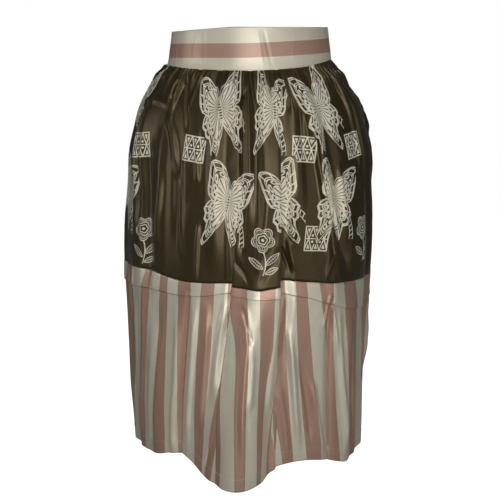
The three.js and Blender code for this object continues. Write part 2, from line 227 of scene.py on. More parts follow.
# %% Creases of the front
# height, reach in millimetres, crisp, then the angles and the distances below the top along the path
CREASES = (
    (4.5, 7, 0.3, (-49, -48, -46.4), (68, 86, 110)),
    (-4, 5, 0.4, (-45.8, -45.6, -44.6), (66, 84, 104)),
    (4, 5, 0.4, (-42.6, -43.2, -41.6), (64, 84, 112)),
    (3, 7, 0.3, (-78, -66, -56, -44), (122, 108, 106, 114)),
    (-4, 5, 0.5, (-43.6, -37, -32, -31), (56, 90, 127, 152)),
    (4, 9, 0.1, (-46, -40, -35.5, -34), (118, 150, 190, 222)),
    (-5.5, 17, 0, (-58, -56, -53.6, -51, -48), (150, 220, 280, 330, 372)),
    (3.4, 11, 0, (-44, -44.5, -45.6, -44), (195, 245, 285, 330)),
    (2.8, 4.5, 0.5, (-34, -33, -31.6, -31), (212, 245, 300, 338)),
    (3.2, 6, 0.3, (-25, -24.2, -24), (140, 185, 225)),
    (3.4, 6, 0.4, (-14.5, -14.8, -15.2), (66, 110, 160)),
    (-4.5, 5, 0.7, (-1.5, -5.2, -8, -11), (86, 109, 126, 152)),
    (2.8, 4, 0.5, (-3.5, -7.5, -11.5), (86, 110, 132)),
    (-5.5, 4, 0.6, (-4.7, -4.4, -4, -4), (54, 100, 165, 240)),
    (4.5, 8, 0.2, (-0.6, -0.6, -0.4, 0), (56, 120, 185, 230)),
    (-4, 3.6, 0.8, (-2, -2.2, -2.4), (226, 262, 326)),
    (5, 11, 0.1, (7.2, 7, 6, 4.5), (205, 240, 290, 330)),
    (3, 5, 0.3, (3.6, 3.8), (285, 352)),
    (-3, 3.4, 0.8, (-4.8, -3.4, 0.8), (312, 334, 368)),
    (-3, 3.4, 0.8, (9.8, 9, 4), (306, 331, 368)),
    (3.2, 4, 0.6, (-9.8, -9.6, -9.4), (250, 290, 372)),
    (3, 4, 0.6, (-22.6, -23, -23.6), (272, 312, 372)),
    (3.4, 5, 0.4, (31.8, 31.8, 28.8, 28), (54, 74, 98, 114)),
    (5.5, 6.5, 0.5, (28.6, 29.2, 32.2, 36, 38.6, 38.4), (96, 130, 198, 269, 325, 352)),
    (-6, 9, 0.3, (31.6, 34.6, 39.6, 45, 50), (140, 207, 270, 310, 352)),
    (4, 7, 0.2, (44.5, 46.4, 47.6, 50), (190, 230, 255, 300)),
    (3.2, 4, 0.5, (38.6, 38, 36), (318, 336, 374)),
    (3.2, 4, 0.5, (39.4, 40.6, 45), (320, 338, 378)),
    (-4, 4, 0.7, (12.8, 14.4, 19.4), (292, 312, 356)),
    (2.8, 5, 0.3, (16.5, 20.2), (294, 348)),
    (3.4, 7, 0.2, (19.2, 19.2, 19.4), (232, 275, 318)),
    (-4, 6, 0.3, (21.6, 24.6, 24.4, 25.6), (78, 110, 150, 195)),
    (3.4, 6, 0.3, (20, 20.5, 20), (58, 85, 122)),
    (-3.4, 6, 0.3, (55, 58, 61, 62), (66, 110, 170, 230)),
    (4, 8, 0.2, (61, 65, 68, 68), (70, 120, 190, 260)),
    (-4, 8, 0.2, (-62, -63, -66, -66), (62, 90, 150, 200)),
    (-5.5, 5, 0.8, (-26, -27.2, -30.4, -32.5, -34.2), (372, 392, 466, 560, 668)),
    (4.5, 8, 0.2, (-33, -35.4, -37.8, -38.4), (384, 506, 600, 660)),
    (4.5, 8, 0.2, (-23, -26.2, -28, -30.4), (372, 475, 558, 650)),
    (4, 9, 0.1, (-18, -19.8, -22.4), (388, 499, 606)),
    (4.5, 8, 0.2, (-9.4, -13.4, -15.8), (386, 460, 556)),
    (-4.5, 4.5, 0.7, (-9.4, -13, -21), (506, 573, 668)),
    (3.4, 7, 0.3, (-2.6, -0.2, -1, -1.6, -1.6), (380, 430, 489, 565, 668)),
    (-3, 5, 0.3, (-2.4, 1.8), (394, 458)),
    (3.4, 6, 0.3, (1.6, 1.8, 1), (432, 503, 562)),
    (3, 3.6, 0.6, (9.9, 9.2, 8.8), (404, 497, 575)),
    (4.5, 8, 0.3, (16, 14.8, 13.6), (370, 432, 480)),
    (3.4, 8, 0.2, (14.2, 17.6, 19.4), (508, 580, 652)),
    (4.5, 8, 0.2, (18, 22, 25.2), (418, 527, 636)),
    (-3.5, 8, 0.2, (23.6, 29.4, 31.4), (466, 560, 622)),
    (4, 8, 0.2, (30.6, 34.5, 38.2), (508, 580, 654)),
    (-6, 5, 0.8, (39.4, 40.6, 42, 42.8), (394, 482, 600, 668)),
    (4, 5, 0.4, (39.2, 38.4, 36.4), (386, 404, 442)),
    (4, 6, 0.3, (40.4, 42.5, 46.4), (398, 430, 492)),
    (5, 9, 0.2, (44.8, 48.8, 53, 53.4), (396, 514, 600, 662)),
    (-4.5, 9, 0.1, (56, 60, 66, 68), (420, 520, 610, 664)),
    (-4.5, 10, 0.1, (-44, -47, -51, -54), (400, 480, 580, 660)),
    (4, 9, 0.1, (-56, -58, -62, -66), (380, 480, 590, 660)),
)
ARC = 3.1  # millimetres along the cloth in a degree, near the front
print(len(CREASES), "creases along paths")

# %% Add creases up
PATH_POINTS = 25


def creases_at(angle, below):
    """The sum of high * bell(distance from the path), easing in and out over the path's first and last
    quarters."""
    out = np.zeros(np.broadcast(angle, below).shape)
    for high, reach, crisp, angles, heights in CREASES:
        rows = np.stack([np.arange(len(angles)), np.array(angles) * ARC, heights], -1).astype(float)
        path = between(rows, np.linspace(0, len(angles) - 1, PATH_POINTS))
        low, top = path.min(0) - reach, path.max(0) + reach
        near = (angle * ARC > low[0]) & (angle * ARC < top[0]) & (below > low[1]) & (below < top[1])
        spots = np.stack([angle[near] * ARC, below[near]], -1)
        start, step = path[:-1], np.diff(path, axis=0)
        share = np.clip(((spots[:, None] - start) * step).sum(-1) / (step**2).sum(-1), 0, 1)
        away = np.linalg.norm(spots[:, None] - start - share[..., None] * step, axis=-1)
        nearest = np.arange(len(away)), away.argmin(-1)
        run = (nearest[1] + share[nearest]) / len(start)
        out[near] += high * ease(run, 0, 0.25) * (1 - ease(run, 0.75, 1)) * bell(away[nearest], reach, crisp)
    return out


print("creases beside centre front, in mm:", creases_at(np.array([-4.5]), np.array([150.0])).round(1))

# %% [markdown]
# ## Gathers and slackness
# Where a wide cloth is drawn into a short band it stands in many small tubes that melt into the folds
# below. They are too many to place by hand, so a seeded generator places them, with uneven widths, heights
# and lengths. Slackness is a sum of slow waves that keeps the cloth between the folds from looking pressed.

# %% Gathers under the band
BEHIND_BAND, BAND_FOOT = 44.0, 62.0  # where gathers start and where they stand in full
draw = np.random.default_rng(11)


def spread_round(count):
    """Angles all round the skirt, even but for a random shift of up to 0.45 of a space."""
    return -180 + 360 * (np.arange(count) + draw.uniform(-0.45, 0.45, count)) / count


def gather_rows(spot, end, left, right, high, fade, to, crisp):
    """Rows with the columns of FOLDS, for folds that start behind the band and flare by half."""
    same = np.ones_like(spot)
    start, full = BEHIND_BAND * same, BAND_FOOT * same
    return np.stack([spot, end, left, right, 0.5 * same, high, start, full, fade, to, crisp], -1)


GATHERS, TUBES = 150, 84
spot = spread_round(GATHERS)
length = draw.gamma(1.6, 9, GATHERS) + 10
half = draw.uniform(0.8, 1.9, GATHERS)
tall = draw.uniform(1.0, 3.1, GATHERS)
SMALL_GATHERS = gather_rows(
    spot, spot + draw.normal(0, 1.4, GATHERS), half, half * draw.uniform(0.8, 1.3, GATHERS), tall,
    62 + 0.15 * length, 66 + length, draw.uniform(0, 0.6, GATHERS))
spot = spread_round(TUBES)
length = draw.uniform(26, 75, TUBES)
half = draw.uniform(1.3, 2.6, TUBES)
LONG_GATHERS = gather_rows(
    spot, spot + draw.normal(0, 1.6, TUBES), half, half * draw.uniform(0.8, 1.3, TUBES),
    draw.choice([-1, 1, 1], TUBES) * draw.uniform(2.8, 6.2, TUBES),
    64 + 0.1 * length, 74 + length, draw.uniform(0, 0.8, TUBES))
smooth_shoulder = (LONG_GATHERS[:, 0] > -84) & (LONG_GATHERS[:, 0] < -47)
LONG_GATHERS[smooth_shoulder, 5] *= 0.35
print(GATHERS, "short and", TUBES, "long gathers")

# %% Slow waves and small crumples
WAVES, CRUMPLES = 26, 60
turns = draw.integers(3, 15, WAVES)
climb = draw.normal(0, 0.008, WAVES)
phase = draw.uniform(0, 2 * np.pi, WAVES)
swell = draw.uniform(0.4, 1, WAVES) / np.sqrt(WAVES)
ripple_turns = draw.integers(18, 62, CRUMPLES)
ripple_climb = draw.normal(0, 0.085, CRUMPLES)
ripple_phase = draw.uniform(0, 2 * np.pi, CRUMPLES)
ripple_swell = np.full(CRUMPLES, CRUMPLES**-0.5)


def waves(angle, below, counts, climbs, phases, sizes):
    """A sum of waves sin(n angle + m below + phase) with whole n, so that it closes round the skirt."""
    out = np.zeros(np.broadcast(angle, below).shape)
    for n, m, shift, size in zip(counts, climbs, phases, sizes):
        out += size * np.sin(n * np.radians(angle) + m * below + shift)
    return out


def slackness(angle, below):
    """Waves of about 1.5 mm and crumples of about 0.3 mm, both quiet near the band. The crumples come in
    patches and are faint on the smooth shoulder."""
    slow = waves(angle, below, turns, climb, phase, swell)
    small = waves(angle, below, ripple_turns, ripple_climb, ripple_phase, ripple_swell)
    patchy = 0.6 + 0.4 * np.sin(3 * np.radians(angle) + below / 60)
    patchy = patchy * (1 - 0.85 * bell(angle + 66, 24, 0) * (1 - ease(below, 330, 380)))
    return (1.5 * slow + 0.26 * small * patchy) * ease(below, 62, 120)


print(WAVES, "waves and", CRUMPLES, "crumples")

# %% More folds for the sides and the back, of the same kind as those of the front
SIDE_FOLDS = 44
spot = draw.uniform(62, 298, SIDE_FOLDS)
begin = np.where(draw.uniform(0, 1, SIDE_FOLDS) < 0.5, draw.uniform(50, 180, SIDE_FOLDS),
                 draw.uniform(300, 440, SIDE_FOLDS))
drop = draw.uniform(90, 230, SIDE_FOLDS)
half = draw.uniform(1.6, 3.4, SIDE_FOLDS)
MORE_FOLDS = np.stack([
    spot, spot + draw.normal(0, 4, SIDE_FOLDS), half, half * draw.uniform(0.8, 1.4, SIDE_FOLDS),
    np.full(SIDE_FOLDS, 0.2), draw.choice([-1, 1], SIDE_FOLDS) * draw.uniform(2.2, 5, SIDE_FOLDS),
    begin, begin + 0.3 * drop, begin + 0.7 * drop, begin + drop, draw.uniform(0, 0.7, SIDE_FOLDS),
], -1)
print(SIDE_FOLDS, "more folds at the sides and the back")

# %% [markdown]
# ## Laps that pass under themselves
# The cloth at centre front is folded over on both sides, as a soft pleat is. It could be made of three
# layers joined at their edges. A height added to a surface can't fold it over, so a lap also slides the
# cloth sideways: the slide turns the surface back under its own edge and forward again, as the letter S
# does, and the cloth stays in one piece.

# %% The sideways slide of each lap
# for each lap, its edge's angles at LAP_HEIGHTS, its strength k, its width w in millimetres, and the heights
# where it starts, is full, fades and ends
LAP_HEIGHTS = (60, 250, 380, 465, 620, 700)
LAPS = (
    ((11.6, 11.3, 11.5, 11.4, 12.4, 13.5), 4.0, 4.2, (80, 130, 560, 690)),
    ((-4.0, -4.8, -5.6, -8.6, -13.6, -16), 3.6, 4.0, (240, 350, 520, 680)),
)


def slide(angle, below):
    """Millimetres along the cloth, -k t exp(-t^2 / 2 w^2) for each lap, where t is the distance from its
    edge. The cloth turns back on itself where k is more than 1."""
    out = np.zeros(np.broadcast(angle, below).shape)
    for angles, strength, width, (start, full, fade, to) in LAPS:
        aside = ARC * (angle - np.interp(below, LAP_HEIGHTS, angles))
        grown = ease(below, start, full) * (1 - ease(below, fade, to))
        out -= strength * grown * aside * np.exp(-((aside / width) ** 2) / 2)
    return out


print(len(LAPS), "laps")


# %% The surface of the cloth
def tube(angle, below):
    """The plain tube's x and y in millimetres, and its outward direction. The tube is an ellipse, (wide
    sin a, -deep cos a), moved to the right, and moved back by more towards the back."""
    wide, deep, right, back = np.moveaxis(between(GIRTH, below), -1, 0)
    turn = np.radians(angle)
    x, y = wide * np.sin(turn) + right, -deep * np.cos(turn) + back * (1 - np.cos(turn)) / 2
    out_x, out_y = deep * np.sin(turn), -wide * np.cos(turn)
    long = np.hypot(out_x, out_y)
    return x, y, out_x / long, out_y / long


def cloth(angle, below):
    """The middle of the cloth, in metres: the tube, moved outwards by the folds and along its own line by
    the laps. The last axis of the result is x, y, z."""
    angle, below = np.broadcast_arrays(angle, below)
    x, y, out_x, out_y = tube(angle, below)
    high = sum(folds_at(table, angle, below) for table in (FOLDS, SMALL_GATHERS, LONG_GATHERS, MORE_FOLDS))
    high = high + creases_at(angle, below) + slackness(angle, below)
    aside = slide(angle, below)
    x, y = x + high * out_x - aside * out_y, y + high * out_y + aside * out_x
    return np.stack([x, y, TOP - below], -1) * MM


def plain(angle, below):
    """The same tube with no folds, for the waistband."""
    angle, below = np.broadcast_arrays(angle, below)
    x, y, *_ = tube(angle, below)
    return np.stack([x, y, TOP - below], -1) * MM


print("centre front of the hem:", cloth(np.array([0.0]), np.array([668.0])).round(3))

# %% [markdown]
# ## From a surface to a piece of cloth
# A sheet of satin has two faces and an edge all round. A Solidify modifier could give it both, but each
# face also needs its own mark, so the grid of middles is moved half a thickness out for the right side and
# half a thickness in for the wrong side, and a strip closes the edge. Each point carries its place on the
# flat cloth as a UV map, in metres, and `wrong_side` says which face it is on.


# %% Put points and faces into a mesh
def normals_of(grid):
    """Unit normals of a grid of points: the cross product of the grid's slopes downwards and along."""
    down, along = np.gradient(grid, axis=0), np.gradient(grid, axis=1)
    normal = np.cross(down, along)
    return normal / np.linalg.norm(normal, axis=-1, keepdims=True)


def mesh_object(name, points, faces, smooth):
    """A linked object from an array of points and a list of faces."""
    mesh = bpy.data.meshes.new(name)
    mesh.from_pydata(points.tolist(), [], faces)
    mesh.polygons.foreach_set("use_smooth", smooth)
    mesh.update()
    made = bpy.data.objects.new(name, mesh)
    bpy.context.scene.collection.objects.link(made)
    return made


def lay_flat(made, uv, wrong):
    """Writes the places on the flat cloth and the wrong-side mark of every point."""
    mesh = made.data
    corner = np.empty(len(mesh.loops), np.int32)
    mesh.loops.foreach_get("vertex_index", corner)
    layer = mesh.uv_layers.new(name="flat_cloth")
    layer.data.foreach_set("uv", uv[corner].astype(np.float32).ravel())
    mark = mesh.attributes.new("wrong_side", "FLOAT", "POINT")
    mark.data.foreach_set("value", wrong.astype(np.float32))


flat_test = np.stack(np.meshgrid([0.0, 1.0, 2.0], [2.0, 1.0, 0.0]) + [np.zeros((3, 3))], -1)
print("a flat grid that runs down and to the right faces", normals_of(flat_test)[1, 1])


# %% A closed shell from a grid
def shell(name, grid, uv, thick, lift=0.0):
    """Two copies of a grid joined by a rim: its middle is moved by lift, and half of thick to each side."""
    normal = normals_of(grid)
    rows, columns = grid.shape[:2]
    half_wall = np.broadcast_to(np.asarray(thick, float) * MM / 2, (rows, columns))[..., None]
    middle = grid + normal * np.broadcast_to(np.asarray(lift, float) * MM, (rows, columns))[..., None]
    points = np.concatenate([(middle + normal * half_wall).reshape(-1, 3),
                             (middle - normal * half_wall).reshape(-1, 3)])
    index = np.arange(rows * columns).reshape(rows, columns)
    quads = np.stack([index[:-1, :-1], index[1:, :-1], index[1:, 1:], index[:-1, 1:]], -1).reshape(-1, 4)
    edge = np.concatenate([index[0, :-1], index[:-1, -1], index[-1, :0:-1], index[:0:-1, 0]])
    after = np.roll(edge, -1)
    size = rows * columns
    rim = np.stack([edge, after, after + size, edge + size], -1)
    faces = np.concatenate([quads, quads[:, ::-1] + size, rim])
    smooth = np.concatenate([np.ones(2 * len(quads), bool), np.zeros(len(rim), bool)])
    made = mesh_object(name, points, faces.tolist(), smooth)
    flat = uv.reshape(-1, 2)
    lay_flat(made, np.concatenate([flat, flat]), np.repeat([0.0, 1.0], size))
    print(name, len(points), "points,", 2 * len(quads) + len(rim), "faces")
    return made


print("a shell has two faces, a rim and its place on the flat cloth")

# %% [markdown]
# ## Where the columns of points stand
# A lap turns back on itself within a few millimetres, so it needs columns close together, and the smooth
# cloth between needs fewer. Subdividing everything would do, at many times the faces, so the columns are
# spread by a density, and its running sum is turned round to find them.

# %% Columns close together at the laps
SEAM_GAP = 0.004  # degrees left free on each side of a seam


def columns_between(first, last, step):
    """Angles from first to last, about step apart, and three times as close near each lap."""
    fine = np.linspace(first, last, 4001)
    density = np.ones_like(fine) / step
    for angles, *_ in LAPS:
        density += 2.2 / step * (ease(fine, min(angles) - 4, min(angles) - 2)
                                 * (1 - ease(fine, max(angles) + 2, max(angles) + 4)))
    total = np.concatenate([[0], np.cumsum((density[1:] + density[:-1]) / 2 * np.diff(fine))])
    count = int(round(total[-1]))
    return np.interp(np.linspace(0, total[-1], count + 1), total, fine)


def rows_between(top, bottom, count, bunch=1.0):
    """A grid of heights from a top line to a bottom line, closer to the top where bunch is above 1."""
    share = np.linspace(0, 1, count + 1) ** bunch
    return top[None, :] + (bottom - top)[None, :] * share[:, None]


def run_along(angles, below):
    """Metres along the cloth at one height: the running length of the curve through the columns."""
    line = cloth(angles, np.full(angles.shape, float(below)))
    return np.concatenate([[0], np.cumsum(np.linalg.norm(np.diff(line, axis=0), axis=1))])


FRONT, BACK, BACK_RIGHT, BACK_LEFT = (-90, 90), (90, 270), (90, 180), (180, 270)
FRONT_STEP, BACK_STEP = 0.62, 0.75  # degrees between columns
print("columns across the front:", len(columns_between(*FRONT, FRONT_STEP)))

# %% [markdown]
# ## The dark yoke
# Three panels: the front and two back halves that leave a slit at centre back. One half runs a few
# millimetres under the other there, so the slit stays shut when it hangs. A flat pattern could be gathered
# by simulation. Here the panel is a part of the surface above, and only its place on the flat cloth is
# worked out: the cloth is as wide at the band as at the seam, so that place depends on the angle alone.

# %% Make the dark panels
DARK_THICK = 0.7  # millimetres
RUNS_UP = 0.8  # how far the cloth goes up under the band
SEAM_ROOM = 0.15  # how far it stops short of a seam
FULL_WIDTH_AT = 330  # the distance below the top where the cloth lies spread out
PRINT_SHIFT = {"front_yoke": 0.0, "back_yoke_right": 0.31, "back_yoke_left": 0.57}


def dark_panel(name, first, last, step, count, centre, under=0):
    """A panel between two angles, with its flat place counted from a centre. The edge that goes under the
    other half, by some degrees, is moved in by 0.9 mm."""
    angles = columns_between(first + SEAM_GAP - under, last - SEAM_GAP, step)
    seam = edge_lines(angles)[0]
    under_band = all_round(BAND_EDGES, angles)[1]
    below = rows_between(under_band - RUNS_UP, seam - SEAM_ROOM, count, 1.35)
    across = run_along(angles, FULL_WIDTH_AT)
    across = across - np.interp(centre, angles, across)
    uv = np.stack([np.broadcast_to(across + PRINT_SHIFT[name], below.shape), below * MM], -1)
    tucked_in = -0.9 * (1 - ease(angles, first, first + 4)) if under else 0.0
    return shell(name, cloth(angles[None, :], below), uv, DARK_THICK, tucked_in)


front_yoke = dark_panel("front_yoke", *FRONT, FRONT_STEP, count=112, centre=0)
back_yoke_right = dark_panel("back_yoke_right", *BACK_RIGHT, BACK_STEP, count=90, centre=90)
back_yoke_left = dark_panel("back_yoke_left", *BACK_LEFT, BACK_STEP, count=90, centre=180, under=1.8)

# %% [markdown]
# ## The striped flounce and its tuck
# The stripes run down the cloth. They stand closer together where the cloth turns away under a lap, so the
# place on the flat cloth isn't measured along the surface but comes from a table of the stripes' edges at
# three heights, 21 mm of cloth apart. The tuck is a fold of the same cloth that lies over the top of the
# flounce, so it is a shell of its own, pushed out further the lower it hangs.

# %% Place the stripes
STRIPE = 21  # millimetres of flat cloth
STRIPE_HEIGHTS = (375, 465, 620)
# angles of the edges between stripes, at each of those heights
STRIPE_EDGES = np.array([
    (-97, -101, -106), (-84, -88, -93), (-69.5, -73.8, -79), (-56.3, -61, -66.2), (-50.5, -54.8, -59.6),
    (-43.2, -47, -50), (-38.2, -41.2, -42.6), (-32.2, -33.6, -34.9), (-25.8, -29, -33), (-21, -23.4, -25.2),
    (-15, -16.8, -20.2), (-9.2, -10.8, -17.6), (-7.6, -10.2, -14.8), (-6.4, -9.2, -12.8),
    (-5.9, -7.8, -10.8), (-5.3, -5, -5.2), (-0.4, 0.4, -0.8), (4.6, 5.2, 4), (9.2, 9, 6.2),
    (11.7, 10.9, 8.8), (12.2, 11.4, 12.4), (12.7, 11.9, 15.8), (16.4, 17.8, 21.4), (21, 23.2, 28.2),
    (26.4, 30, 36.2), (33, 38.6, 41.6), (40.2, 43, 48.2), (47.2, 51.6, 58), (56.5, 63, 69), (69, 75.5, 84),
    (81, 88, 97), (92, 99.5, 108),
], float)


def stripe_edges_at(below):
    """The angles of the stripes' edges at one height: two straight lines through the three angles of
    each, blended over a quarter of the way to either side of the middle one."""
    first, second, third = STRIPE_EDGES.T
    start, mid, end = STRIPE_HEIGHTS
    t, mid = np.clip((below - start) / (end - start), -0.05, 1.25), (mid - start) / (end - start)
    mix = ease(t, mid - 0.25, mid + 0.25)
    edges = (first + (second - first) * t / mid) * (1 - mix)
    edges = edges + (second + (third - second) * (t - mid) / (1 - mid)) * mix
    return np.maximum.accumulate(edges + np.arange(len(edges)) * 1e-4)


def flat_across(angles, below):
    """Metres across the flat striped cloth, for the front: the number of stripes passed, times a stripe's
    width. It is worked out every 5 mm down and read between, with a stripe to 9 degrees before the first."""
    levels = np.linspace(300, 700, 81)
    tables = []
    for level in levels:
        edges = stripe_edges_at(level)
        before_first = np.minimum(angles - edges[0], 0) / 9
        tables.append(np.interp(angles, edges, np.arange(len(edges), dtype=float)) + before_first)
    tables = np.array(tables)
    level = (below - levels[0]) / (levels[1] - levels[0])
    low = np.clip(np.floor(level).astype(int), 0, len(levels) - 2)
    t = np.clip(level - low, 0, 1)
    column = np.broadcast_to(np.arange(len(angles)), below.shape)
    return (tables[low, column] * (1 - t) + tables[low + 1, column] * t) * STRIPE * MM


print(len(STRIPE_EDGES), "edges of stripes across the front")

# %% Make the flounce
flounce_cuts, flounce_lengths = {}, {}
HEM_TURN = 20  # the hem is turned up by this much, and sewn there
BACK_WIDTH_AT = 500  # the distance below the top where the back's cloth is measured


def striped_place(side, angles, below, lean=0.0):
    """Where each point lies on the flat cloth, with the width of the cut taken along the top row. lean is
    how many degrees the stripes are carried along."""
    if side == "front":
        across = flat_across(angles, below)
        across = across - np.gradient(across, angles, axis=1) * lean
    else:
        across = np.broadcast_to(run_along(angles, BACK_WIDTH_AT), below.shape)
    flounce_cuts[side] = float(across[0, -1] - across[0, 0])
    return np.stack([across, below * MM], -1)


def flounce(name, side, first, last, step, count):
    """Rows from the seam to the tuck's fold, from there to the hem's turn, and down the turned hem, which
    is 0.5 mm thicker."""
    angles = columns_between(first + SEAM_GAP, last - SEAM_GAP, step)
    seam, fold, hem = edge_lines(angles)
    flounce_lengths[side] = float((hem - seam).mean() * MM)
    below = np.concatenate([rows_between(seam + SEAM_ROOM, fold - 0.5, 5),
                            rows_between(fold + 0.5, hem - HEM_TURN - 2, count),
                            rows_between(hem - HEM_TURN, hem, 8)])
    thick = 0.7 + 0.5 * ease(below, hem - HEM_TURN - 1, hem - HEM_TURN + 1.5)
    return shell(name, cloth(angles[None, :], below), striped_place(side, angles, below), thick)


front_flounce = flounce("front_flounce", "front", *FRONT, FRONT_STEP, 86)
back_flounce = flounce("back_flounce", "back", *BACK, BACK_STEP, 76)
print("lengths of the flounce, in metres:", flounce_lengths)

# %% Make the tuck
TUCK_LEAN = ((-95, -84, -72, -60, -51, -40), (6, 5.5, 1.2, 1.6, 1.4, 0))  # degrees, by angle


def tuck(name, side, first, last, step):
    """A shell 0.25 + 1.45 t^0.6 mm out from the top of the flounce, with t from 0 to 1 downwards."""
    angles = columns_between(first + SEAM_GAP, last - SEAM_GAP, step)
    seam, fold, _ = edge_lines(angles)
    below = rows_between(seam + SEAM_ROOM, fold, 12)
    t = (below - seam) / (fold - seam)
    lean = np.interp(angles, *TUCK_LEAN) * (1 - t)
    place = striped_place(side, angles, below, lean)
    return shell(name, cloth(angles[None, :], below), place, 0.9, lift=0.25 + 1.45 * t**0.6)


front_tuck = tuck("front_tuck", "front", *FRONT, FRONT_STEP)
back_tuck = tuck("back_tuck", "back", *BACK, BACK_STEP)

# %% [markdown]
# ## The waistband
# One strip of the striped satin, its stripes running round, folded over at the top. Its outer end laps over
# its inner end at centre back. The two layers lie tight together, so one thick shell stands for both, with
# edges drawn in as those of a rounded bar.

# %% The band's lap and creases
BAND_THICK = 2.2
BAND_ROUND = 1.8  # how far in from an edge the band is full thickness
LAP_ANGLE = 6  # degrees that each end runs past centre back
# how far the stripes lie below their place at centre front, by angle
BAND_RISE = ((-150, -77, -40, 0, 35, 55, 77, 150), (0, 2.2, 0.8, 0, -3.2, -4.8, -6.4, -2))
# angle, half width in degrees, height in millimetres, and lean of the faint creases across the band
BAND_CREASES = (
    (-42, 1.2, 0.5, -2), (-33, 1.5, -0.6, 1), (7, 1.1, 0.8, 2), (12, 1.6, -0.6, 3), (31, 1.8, 0.5, -2),
    (58, 2, 0.6, 3), (-64, 2, 0.6, 2), (96, 3, 0.7, 4), (128, 2, -0.6, -3), (-108, 3, 0.7, -4),
)


def band_lift(angle):
    """How far the strip's middle moves out, so that its outer end passes over its inner end."""
    return 2.7 * ease(angle, 180 - LAP_ANGLE - 22, 180 - LAP_ANGLE - 1)


def band_ripple(angle, below):
    """Slow waves round the band and a few creases across it, in millimetres."""
    turn = np.radians(angle)
    out = 0.25 * np.sin(9 * turn + 1 + below / 40) + 0.2 * np.sin(17 * turn - below / 30)
    for at, wide, high, tilt in BAND_CREASES:
        out = out + high * bell(angle - at - tilt * (below / 30 - 1), wide, 0.5)
    return out


print(len(BAND_CREASES), "creases across the band")


# %% Make the waistband
def band():
    """The plain tube's surface between the band's two edges. At a share x of BAND_ROUND from an edge, the
    thickness is 0.35 + 0.65 sqrt(1 - (1 - x)^2) of the whole, a quarter of an ellipse."""
    angles = np.linspace(-180 - LAP_ANGLE, 180 + LAP_ANGLE, 373)
    top, bottom = all_round(BAND_EDGES, angles)
    share = np.concatenate([[0, 0.004, 0.013, 0.028], np.linspace(0.05, 0.95, 26), [0.972, 0.987, 0.996, 1]])
    below = top + (bottom - top) * share[:, None]
    from_edge = np.minimum(below - top, bottom - below)
    x = np.minimum(from_edge, BAND_ROUND) / BAND_ROUND
    thick = BAND_THICK * (0.35 + 0.65 * np.sqrt(np.clip(1 - (1 - x) ** 2, 0, 1)))
    lift = band_lift(angles) + band_ripple(angles, below) * ease(from_edge, 0, 14)
    line = plain(angles, np.full(angles.shape, 30.0))
    across = np.concatenate([[0], np.cumsum(np.linalg.norm(np.diff(line, axis=0), axis=1))])
    drawn_up = np.interp(angles, *BAND_RISE)
    uv = np.stack([np.broadcast_to(across, below.shape), (below - drawn_up) * MM], -1)
    return shell("band", plain(angles[None, :], below), uv, thick, lift), float(across[-1])


waistband, band_length = band()
print("length of the band, in metres:", round(band_length, 3))

# %% [markdown]
# ## Stitches
# A sewn line is a row of short threads that come out of the cloth and go in again. Bump could suggest them,
# but real tubes hold up from close by. Each stitch is a thin tube on a path of four points, and one
# function makes all the tubes of a piece at once. The band is sewn on along its lower edge, and the hem 20
# mm above its fold.


# %% Many thin tubes at once
def tubes(name, paths, aside, radius, sides=6):
    """Tubes along paths, an array of paths by points by 3 in metres. `aside` is a direction across each
    path, and each ring is path + radius (cos a aside + sin a (along x aside)), with the radius in
    millimetres."""
    count, length, _ = paths.shape
    along = np.gradient(paths, axis=1)
    along = along / np.linalg.norm(along, axis=-1, keepdims=True)
    across = np.broadcast_to(aside, paths.shape)
    across = across - (across * along).sum(-1, keepdims=True) * along
    across = across / np.linalg.norm(across, axis=-1, keepdims=True)
    other = np.cross(along, across)
    turn = np.linspace(0, 2 * np.pi, sides, endpoint=False)
    ring = np.cos(turn)[:, None] * across[..., None, :] + np.sin(turn)[:, None] * other[..., None, :]
    points = paths[..., None, :] + radius * MM * ring
    index = np.arange(count * length * sides).reshape(count, length, sides)
    low, high = index[:, :-1], index[:, 1:]
    quads = np.stack([low, np.roll(low, -1, -1), np.roll(high, -1, -1), high], -1).reshape(-1, 4)
    caps = np.concatenate([index[:, 0, ::-1], index[:, -1]])
    smooth = np.concatenate([np.ones(len(quads), bool), np.zeros(len(caps), bool)])
    return mesh_object(name, points.reshape(-1, 3), quads.tolist() + caps.tolist(), smooth)


def sewn_line(name, line, normal, lift, pitch, long, radius):
    """Stitches along a line of points, pitch millimetres apart and long millimetres each, lying on the
    cloth and dipping into it at both ends."""
    run = np.concatenate([[0], np.cumsum(np.linalg.norm(np.diff(line, axis=0), axis=1))]) / MM
    starts = np.arange(pitch, run[-1] - pitch, pitch)
    places = starts[:, None] + long * np.array([0, 0.16, 0.84, 1])
    spots = np.stack([np.interp(places, run, line[:, axis]) for axis in range(3)], -1)
    out = np.stack([np.interp(places, run, normal[:, axis]) for axis in range(3)], -1)
    rise = lift + radius * np.array([-1.2, 0.7, 0.7, -1.2])
    paths = spots + out * (rise * MM)[:, None]
    print(name, len(starts), "stitches")
    return tubes(name, paths, out, radius)


print("a stitch is a tube on a path of four points")


# %% Sew the hem
def hem_stitches(name, first, last):
    """A sewn line where the hem's turned edge lies, with its normals from rows a millimetre apart."""
    angles = np.linspace(first, last, 2400)
    hem = edge_lines(angles)[2]
    rows = cloth(angles[None, :], hem - HEM_TURN + np.array([-1, 0, 1])[:, None])
    return sewn_line(name, rows[1], normals_of(rows)[1], lift=0.6, pitch=3.4, long=2.5, radius=0.2)


front_hem_stitches = hem_stitches("front_hem_stitches", *FRONT)
back_hem_stitches = hem_stitches("back_hem_stitches", *BACK)


